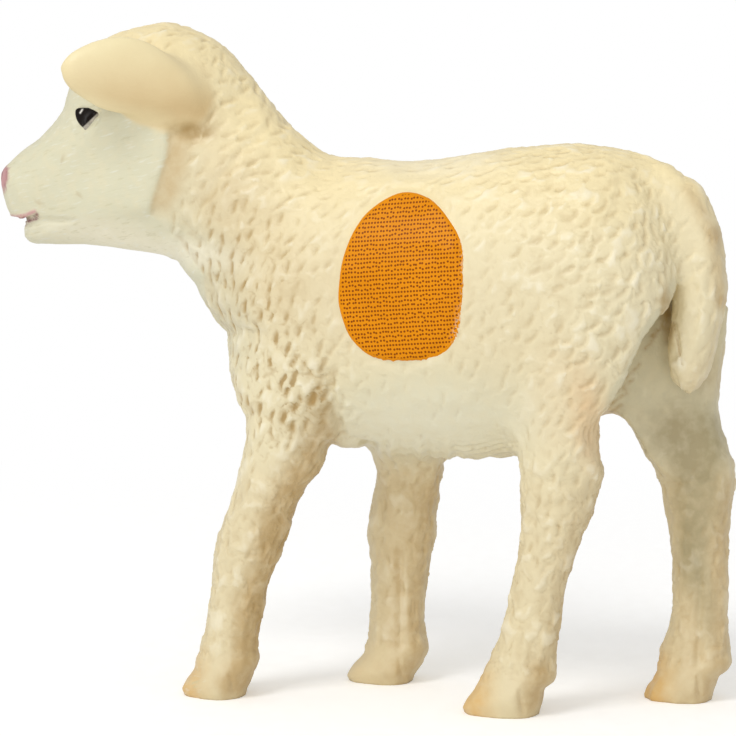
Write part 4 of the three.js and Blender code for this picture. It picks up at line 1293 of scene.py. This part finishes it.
def leaf(root, along, broad, out, length):
    """A thick leaf with a rounded rim, hollow on the side that faces the head, in millimetres."""
    share = (1 - np.cos(np.linspace(0, math.pi, EAR_ROWS)[:-1])) / 2
    angle = np.arange(EAR_ROUND) * 2 * math.pi / EAR_ROUND
    tables = EAR_ABOVE_SHARES, EAR_BELOW_SHARES, EAR_THICK_SHARES
    above, below, thick = (np.interp(share, EAR_ALONG_SHARES, t)[:, None] for t in tables)
    for _ in range(3):
        for table in (above, below, thick):
            table[1:-1] = (table[:-2] + 2 * table[1:-1] + table[2:]) / 4
    rise, bulge = np.cos(angle), np.sin(angle)
    reach = np.where(rise > 0, above, below) * EAR_BREADTH * rise
    hollow = EAR_CUP * np.where(bulge < 0, bulge**2, 0) * (4 * share * (1 - share))[:, None]
    depth = thick * EAR_THICKNESS * bulge * (1 - 0.25 * rise**4) + hollow
    rings = root + along * (share * length)[:, None, None] + broad * reach[..., None]
    rings = rings + out * depth[..., None]
    ends = np.stack((root, root + along * length))
    points = np.concatenate((rings.reshape(-1, 3), ends))
    return points, capped_tube(len(share), EAR_ROUND)


def closed_mesh(name, points, faces, masks, scale=MM):
    """A mesh in metres with outward faces and its masks."""
    mesh = bpy.data.meshes.new(name)
    mesh.from_pydata((points * scale).tolist(), [], faces)
    give(mesh, masks)
    form = bmesh.new()
    form.from_mesh(mesh)
    bmesh.ops.recalc_face_normals(form, faces=form.faces)
    form.to_mesh(mesh)
    form.free()
    return mesh


def surface_of(name):
    """A finished piece's surface for ray casts, in metres."""
    return BVHTree.FromObject(bpy.data.objects[name], bpy.context.evaluated_depsgraph_get())


EYE_ROWS, EYE_ROUND = 24, 88
EYE_DOME, EYE_SEAT, EYE_DEPTH = 0.38, 0.06, 0.7  # height of the dome, sinking of its rim and depth below it


def closed_line(corners_of, count):
    """Points evenly along a smooth closed line through corners: a cubic between each two of them."""
    rim = np.array(corners_of)
    around = np.arange(count) * len(rim) / count
    corner, share = around.astype(int), (around % 1)[:, None]
    before, start, end, after = (rim[(corner + n) % len(rim)] for n in (-1, 0, 1, 2))
    bend = 2 * before - 5 * start + 4 * end - after + share * (3 * (start - end) + after - before)
    return start + 0.5 * share * (end - before + share * bend)


def seen_on(surface, pixels):
    """Where the photograph's pixels lie on a surface: places in millimetres, and directions outward."""
    places, facing = [], []
    for pixel in pixels:
        ray = out_of_photo(pixel, 0) - CAMERA
        hit, normal, _, _ = surface.ray_cast(Vector(CAMERA) * MM, Vector(ray))
        places.append(np.array(hit) / MM)
        facing.append(np.array(normal))
    return np.array(places), np.array(facing)


def eye_bead(surface):
    """The near eye: a low dome over the outline that it has in the photograph, seated on the skin."""
    middle = np.array(EYE_RIM).mean(0)
    line = closed_line(EYE_RIM, EYE_ROUND)
    reach = np.sin(np.linspace(0, math.pi / 2, EYE_ROWS + 1))[1:]
    seen_rings = middle + (line - middle) * reach[:, None, None]
    pixels = np.concatenate((seen_rings, middle[None, None].repeat(EYE_ROUND, 1)))
    top, _ = seen_on(surface, pixels.reshape(-1, 2))
    out = unit(-ACROSS * 0.9 + FORWARD * 0.25 + UP * 0.1)
    height = np.append(np.repeat(np.sqrt(1 - reach**2), EYE_ROUND), np.ones(EYE_ROUND))
    points = top + out * (EYE_DOME * height - EYE_SEAT)[:, None]
    rings = points[: EYE_ROWS * EYE_ROUND]
    foot = rings[-EYE_ROUND:] - out * EYE_DEPTH
    points = np.concatenate((rings, foot, points[-1:], points[-1:] - out * (EYE_DEPTH + EYE_DOME)))
    faces = capped_tube(EYE_ROWS + 1, EYE_ROUND)
    start, end = np.array(EYE_PALE)
    line = unit(end - start)
    beyond = (in_photo(points) - start) @ np.array((-line[1], line[0])) * -1
    # The painted highlight: where the white dab that stands in for a reflection lies on the bead
    painted_highlight = groove(in_photo(points), *EYE_PAINTED_HIGHLIGHT, 0.8) * (np.arange(len(points)) < len(rings))
    return points, faces, {"pale": ramp(beyond, 0.2, 1.6), "painted_highlight": painted_highlight}


def eye_lacquer():
    """Black-brown lacquer dabbed over the vinyl: thick and wet, with a pale rear corner left bare and a white
    painted highlight.
    """
    material, tree, shader = new_material("black_lacquer")
    place = add(tree, COORDINATES, out="Object")
    pale = add(tree, STORED, out="Fac", attribute_name="pale")
    smear = add(tree, NOISE, {"Vector": place, "Scale": 1 / (0.4 * MM), "Detail": 3.0})
    corner = add(tree, RANGE, (smear, 0.3, 0.6, 0.55, 1.0))
    corner = maths(tree, "MULTIPLY", corner, pale)
    shade = mixed(tree, corner, paint("eye"), paint("eye_corner"))
    # Painted highlight: white mixed into the lacquer's colour
    painted_highlight = add(tree, STORED, out="Fac", attribute_name="painted_highlight")
    shade = mixed(tree, painted_highlight, shade, paint("painted_highlight"))
    tree.links.new(shade, shader.inputs["Base Color"])
    shader.inputs["Roughness"].default_value = 0.1
    shader.inputs["IOR"].default_value = 1.5
    shader.inputs["Specular IOR Level"].default_value = 0.1
    return material


def eyes():
    """The near eye, and its mirror image on the far side."""
    material = eye_lacquer()
    points, faces, masks = eye_bead(surface_of("head_skin"))
    for side in SIDES:
        across = (points - BROW) @ ACROSS
        beside = points - 2 * across[:, None] * ACROSS if side == "right" else points
        mesh = closed_mesh(f"{side}_eye_bead", beside, faces, masks)
        shown(f"{side}_eye_bead", mesh, [f"{side}_eye"], material)


PATCH_ROWS, PATCH_ROUND = 40, 200
FILM_SEAT, FILM_DEPTH = 0.02, 0.35  # how far the film is sunk in, and how far down its base lies
TEAR = 0.012  # of the film's edge, as a share of its half width
TORN = (((410, 361), (50, 5), 0, 0.6),)
WORN = ((461, 334), (9, 22), 10, 1.0), ((463, 280), (3, 60), 0, 0.55)


def patch_film():
    """A printed film that follows the flank: an egg with its blunt end down and a slightly torn rear edge."""
    chance = np.random.default_rng(7)
    line = closed_line(PATCH_RIM, PATCH_ROUND)
    middle = line.mean(0)
    torn = chance.normal(0, TEAR, PATCH_ROUND) * np.clip(strokes(line, WORN) + strokes(line, TORN), 0, 1)
    line = line + (line - middle) * torn[:, None]
    share = np.linspace(0, 1, PATCH_ROWS + 1)[1:]
    pixels = middle + (line - middle) * share[:, None, None]
    pixels = np.concatenate((pixels.reshape(-1, 2), middle[None]))
    top, facing = seen_on(surface_of("body_skin"), pixels)
    rim = np.append(np.repeat(share, PATCH_ROUND), 0)
    thickness = sizes().film_thickness / MM
    lift = thickness * np.sqrt(np.clip(1 - ramp(rim, 0.975, 1.0) ** 2, 0, 1)) - FILM_SEAT
    outer = top + facing * lift[:, None]
    inner = top - facing * FILM_DEPTH
    points = np.concatenate((outer, inner))
    count = len(outer)
    faces = []
    for n in range(PATCH_ROUND):
        m = (n + 1) % PATCH_ROUND
        faces.append((count - 1, n, m))
        faces.append((2 * count - 1, count + m, count + n))
        for row in range(PATCH_ROWS - 1):
            near, far = row * PATCH_ROUND, (row + 1) * PATCH_ROUND
            faces.append((near + n, far + n, far + m, near + m))
            faces.append((count + near + m, count + far + m, count + far + n, count + near + n))
        faces.append((far + n, count + far + n, count + far + m, far + m))
    worn = np.clip(strokes(pixels, WORN), 0, 1) * ramp(rim, 0.86, 0.99)
    return closed_mesh("touch_patch_film", points, faces, {"rim": np.tile(rim, 2), "worn": np.tile(worn, 2)})


def printed_film():
    """Orange printed film with brown dots, a little off their grid, so that it reads as a fine even print."""
    material, tree, shader = new_material("printed_polyester_film")
    held = sizes()
    place = add(tree, COORDINATES, out="Object")
    turned = add(tree, "ShaderNodeVectorRotate", {
        "Vector": place, "Axis": (0, 1, 0), "Angle": math.radians(4.4),
    }, rotation_type="AXIS_ANGLE")
    turned = add(tree, VECTOR, (turned, (1 / held.dot_pitch, 0, 1 / held.dot_row)), operation="MULTIPLY")
    cell = add(tree, VECTOR, (turned,), operation="FLOOR")
    chance = add(tree, "ShaderNodeTexWhiteNoise", {"Vector": cell}, out=1, noise_dimensions="3D")
    row = add(tree, "ShaderNodeSeparateXYZ", (cell,), out=2)
    row = maths(tree, "FLOORED_MODULO", row, 4.0)
    loose = maths(tree, "GREATER_THAN", row, 0.5)
    within = add(tree, VECTOR, (turned,), operation="FRACTION")
    astray = add(tree, VECTOR, (chance, (0.4, 0, 0.36), (-0.2, 0, -0.18)), operation="MULTIPLY_ADD")
    astray = add(tree, VECTOR, {0: astray, "Scale": loose}, operation="SCALE")
    away = add(tree, VECTOR, (within, astray), operation="ADD")
    away = add(tree, VECTOR, (away, (0.5, 0, 0.5)), operation="SUBTRACT")
    real = add(tree, VECTOR, (away, (held.dot_pitch / MM, 0, held.dot_row / MM)), operation="MULTIPLY")
    distance = add(tree, VECTOR, (real,), out=1, operation="LENGTH")
    radius = held.dot_size / 2 / MM
    dot = add(tree, RANGE, (distance, radius * 0.8, radius * 1.25, 1.0, 0.0))
    rim = add(tree, STORED, out="Fac", attribute_name="rim")
    clear = add(tree, RANGE, (rim, 0.955, 0.965, 1.0, 0.0))
    dot = maths(tree, "MULTIPLY", dot, clear)
    wear = add(tree, NOISE, {"Vector": place, "Scale": 1 / (3 * MM), "Detail": 3.0})
    shade = mixed(tree, wear, paint("orange"), paint("orange_deep"))
    shade = mixed(tree, dot, shade, paint("dot"))
    worn = add(tree, STORED, out="Fac", attribute_name="worn")
    flakes = add(tree, NOISE, {"Vector": place, "Scale": 1 / (0.25 * MM), "Detail": 3.0})
    flakes = add(tree, RANGE, (flakes, 0.5, 0.56, 0.0, 0.8))
    flakes = maths(tree, "MULTIPLY", flakes, worn)
    shade = mixed(tree, flakes, shade, paint("scuff"))
    tree.links.new(shade, shader.inputs["Base Color"])
    bump = add(tree, "ShaderNodeBump", {"Height": dot, "Strength": 0.1, "Distance": 0.01 * MM})
    tree.links.new(bump, shader.inputs["Normal"])
    shader.inputs["Roughness"].default_value = 0.42
    shader.inputs["Specular IOR Level"].default_value = 0.1
    return material


def touch_patch():
    """The printed film on the flank."""
    shown("touch_patch_film", patch_film(), ["touch_patch"], printed_film())


# Stage

WORLD_LIGHT = 0.62
FLOOR_LIFT = 0.22  # of white added to what the camera sees, so that only the shadow shows
LAMPS = {  # place, diameter and power
    "key": ((-0.2, -0.48, 0.62), 0.3, 2.05),
    "fill": ((0.1, -0.8, 0.08), 0.7, 1.5),
}


def aimed(name, data, place, aim):
    """A lamp or camera at a place, in metres, that looks in a direction."""
    made = bpy.data.objects.new(name, data)
    bpy.context.scene.collection.objects.link(made)
    made.location = place
    made.rotation_mode = "QUATERNION"
    made.rotation_quaternion = aim.to_track_quat("-Z", "Y")
    return made


def stage():
    """The floor, the lamps, the world and the camera."""
    scene = bpy.context.scene
    scene.view_settings.view_transform = "Standard"

    form = bmesh.new()
    bmesh.ops.create_circle(form, cap_ends=True, segments=96, radius=3.0)
    mesh = bpy.data.meshes.new("floor")
    form.to_mesh(mesh)
    form.free()
    floor = bpy.data.objects.new("floor", mesh)
    scene.collection.objects.link(floor)
    mesh.materials.append(studio_floor())

    world = bpy.data.worlds.new("studio")
    scene.world = world
    world.use_nodes = True
    tree = world.node_tree
    tree.nodes.clear()
    seen = add(tree, "ShaderNodeLightPath", out="Is Camera Ray")
    soft = add(tree, "ShaderNodeBackground", {"Color": paint("studio"), "Strength": WORLD_LIGHT})
    white = add(tree, "ShaderNodeBackground", {"Color": (1, 1, 1, 1), "Strength": 1.0})
    either = add(tree, "ShaderNodeMixShader", (seen, soft, white))
    add(tree, "ShaderNodeOutputWorld", {"Surface": either})

    for name, (place, size, power) in LAMPS.items():
        data = bpy.data.lights.new(name, "AREA")
        data.shape, data.size, data.energy = "DISK", size, power
        aimed(name, data, place, Vector(TARGET) * MM - Vector(place))

    data = bpy.data.cameras.new("camera")
    data.sensor_width = SENSOR
    data.lens = FOCAL / IMAGE * SENSOR
    data.clip_start, data.clip_end = 0.01, 10
    scene.camera = aimed("camera", data, CAMERA * MM, Vector(-BACK))


def studio_floor():
    """White paper that shades under the lamb and fades into the white backdrop further out."""
    material, tree, shader = new_material("white_paper")
    place = add(tree, COORDINATES, out="Object")
    away = add(tree, VECTOR, (place,), out=1, operation="LENGTH")
    share = add(tree, RANGE, (away, 0.05, 0.16, 0.0, 1.0), interpolation_type="SMOOTHSTEP")
    watched = add(tree, "ShaderNodeLightPath", out="Is Camera Ray")
    seen = maths(tree, "MULTIPLY", share, watched)
    fibre = add(tree, NOISE, {"Vector": place, "Scale": 1 / (1.5 * MM), "Detail": 2.0})
    shade = mixed(tree, fibre, paint("floor"), (1, 1, 1, 1))
    tree.links.new(shade, shader.inputs["Base Color"])
    shader.inputs["Roughness"].default_value = 0.9
    shader.inputs["Specular IOR Level"].default_value = 0.1
    glow = add(tree, "ShaderNodeEmission", {"Color": (1, 1, 1, 1), "Strength": 1.0})
    lift = maths(tree, "MULTIPLY", watched, FLOOR_LIFT)
    lifted = add(tree, "ShaderNodeEmission", {"Color": (1, 1, 1, 1), "Strength": lift})
    paper = add(tree, "ShaderNodeAddShader", (shader.outputs[0], lifted))
    either = add(tree, "ShaderNodeMixShader", (seen, paper, glow))
    output = next(n for n in tree.nodes if n.type == "OUTPUT_MATERIAL")
    tree.links.new(either, output.inputs["Surface"])
    return material


# The add-on's settings, operators and panel

def length(name, description, default):
    """A setting in metres, from its default in millimetres."""
    return bpy.props.FloatProperty(
        name=name, description=description, default=default * MM,
        subtype="DISTANCE", unit="LENGTH", precision=5,
    )


def number(name, description, default):
    """A setting that is a whole number."""
    return bpy.props.IntProperty(name=name, description=description, default=default)


def colour(name, description, code):
    """A colour setting, from its sRGB hex code."""
    return bpy.props.FloatVectorProperty(
        name=name, description=description, default=linear(code),
        subtype="COLOR", size=3, min=0, max=1,
    )


class LambSizes(bpy.types.PropertyGroup):
    """The lamb's sizes"""
    net_pitch: length("Net pitch", "Spacing of the skin's points", 0.16)
    closing: length("Closing", "How far the skin is grown to close the gaps between the pieces", 0.22)
    melting: number("Melting", "Turns of smoothing over the facets", 40)
    pit_spacing: length("Groove spacing", "Least distance between the grooves of the wool", 1.0)
    pit_length: length("Groove length", "Half length of a groove", 0.46)
    pit_width: length("Groove width", "Half width of a groove", 0.17)
    pit_depth: length("Groove depth", "Depth of a groove", 0.16)
    lump_pitch: length("Lump pitch", "Spacing of the wool's low lumps", 1.5)
    lump_height: length("Lump height", "Height of the lumps", 0.55)
    crease_depth: length("Crease depth", "Depth of the creases between the lumps", 0.07)
    dot_pitch: length("Dot pitch", "Spacing of the patch's dots along a row", 0.254)
    dot_row: length("Dot row", "Spacing of the patch's rows of dots", 0.345)
    dot_size: length("Dot size", "Diameter of a dot", 0.165)
    budget: number("Budget", "Triangles of the whole moulded skin", 318000)
    film_thickness: length("Film thickness", "How far the touch patch stands proud of the flank", 0.08)


class LambColours(bpy.types.PropertyGroup):
    """The lamb's paints"""
    cream: colour("Cream", "The wool's sides", "#E7DBB7")
    # Warm cream, also laid on the wool's top as painted light
    cream_warm_and_lit: colour("Warm cream", "The wool on top", "#F5E3B2")
    cream_green: colour("Pale cream", "The belly, throat and face", "#DAD6B9")
    # Tan paint, also laid as painted shade on sideways wool, on the legs' backs and inner sides and behind
    # the ears
    tan: colour("Tan", "The band behind the cheek and the backs of the legs", "#CBB182")
    # Olive paint, also laid as painted shade on the far inner side and in the cleft
    olive_and_shade: colour("Olive", "The far hind leg's inner side", "#AC9E78")
    # Ochre wash, also laid as painted shade under the ears
    ochre: colour("Ochre", "The wash in the grooves", "#AE8F57")
    blush: colour("Blush", "The hind of the thigh", "#E3C598")
    toe: colour("Toe", "The hooves' toes", "#DDB572")
    pink: colour("Pink", "The nose and lips", "#CD9A99")
    mauve: colour("Mauve", "The line of the mouth and the nostrils", "#8F5A5E")
    pale_hair: colour("Pale hair", "The light hair strokes of the face", "#EBECE2")
    dark_hair: colour("Dark hair", "The dark hair strokes of the face", "#C9C29C")
    # Also the paler paint of throat, chin, back and belly, which is partly painted light
    ridge: colour("Ridge", "The wiped tops of the wool", "#FBF4DC")
    ear_tan: colour("Ear tan", "The lower half of the ears", "#D8BE8D")
    # Cream paint, also laid on the ears' upper edge as painted top light
    ear_cream: colour("Ear cream", "The upper edge of the ears", "#F3E4B6")
    eye: colour("Eye", "The eyes", "#17100C")
    eye_corner: colour("Eye corner", "The pale corner of the eyes", "#BDB6A8")
    # A painted highlight on the eyes, not a reflection
    painted_highlight: colour("Glint", "The white dab on the eyes", "#E4E0D8")
    orange: colour("Orange", "The touch patch", "#E9920A")
    orange_deep: colour("Deep orange", "The touch patch where it is thick", "#DC8600")
    dot: colour("Dot", "The dots of the touch patch", "#843C00")
    scuff: colour("Scuff", "The touch patch's worn edge", "#EBD3B4")
    floor: colour("Floor", "The floor", "#F4F3F0")
    studio: colour("Studio", "The light from all round", "#FFFFFF")


class LAMB_OT_moulding(bpy.types.Operator):
    """Form the nine moulded pieces of the woolly skin"""
    bl_idname = "lamb.moulding"
    bl_label = "Body, head, legs, tail and ears"

    def execute(self, context):
        moulding()
        return {"FINISHED"}


class LAMB_OT_eyes(bpy.types.Operator):
    """Form the two eyes"""
    bl_idname = "lamb.eyes"
    bl_label = "Eyes"

    def execute(self, context):
        eyes()
        return {"FINISHED"}


class LAMB_OT_touch_patch(bpy.types.Operator):
    """Lay the printed film on the flank"""
    bl_idname = "lamb.touch_patch"
    bl_label = "Touch patch"

    def execute(self, context):
        touch_patch()
        return {"FINISHED"}


class LAMB_OT_stage(bpy.types.Operator):
    """Set up the floor, the lamps and the camera"""
    bl_idname = "lamb.stage"
    bl_label = "Stage"

    def execute(self, context):
        stage()
        return {"FINISHED"}


OPERATORS = [LAMB_OT_moulding, LAMB_OT_eyes, LAMB_OT_touch_patch, LAMB_OT_stage]


class LAMB_PT_panel(bpy.types.Panel):
    """The lamb's pieces and settings"""
    bl_label = "Toy lamb"
    bl_space_type = "VIEW_3D"
    bl_region_type = "UI"
    bl_category = "Lamb"

    def draw(self, context):
        for kind in OPERATORS:
            self.layout.operator(kind.bl_idname)
        for held in (context.scene.lamb_sizes, context.scene.lamb_colours):
            for name in held.bl_rna.properties.keys():
                if name not in ("rna_type", "name"):
                    self.layout.prop(held, name)


CLASSES = [LambSizes, LambColours, *OPERATORS, LAMB_PT_panel]


def register():
    """Adds the settings, the operators and the panel to Blender."""
    for kind in CLASSES:
        bpy.utils.register_class(kind)
    bpy.types.Scene.lamb_sizes = bpy.props.PointerProperty(type=LambSizes)
    bpy.types.Scene.lamb_colours = bpy.props.PointerProperty(type=LambColours)


def unregister():
    """Takes them out again."""
    del bpy.types.Scene.lamb_colours
    del bpy.types.Scene.lamb_sizes
    for kind in reversed(CLASSES):
        bpy.utils.unregister_class(kind)


def main():
    """Builds the whole scene."""
    register()
    for kind in OPERATORS:
        group, name = kind.bl_idname.split(".")
        getattr(getattr(bpy.ops, group), name)()


if __name__ == "__main__":
    main()
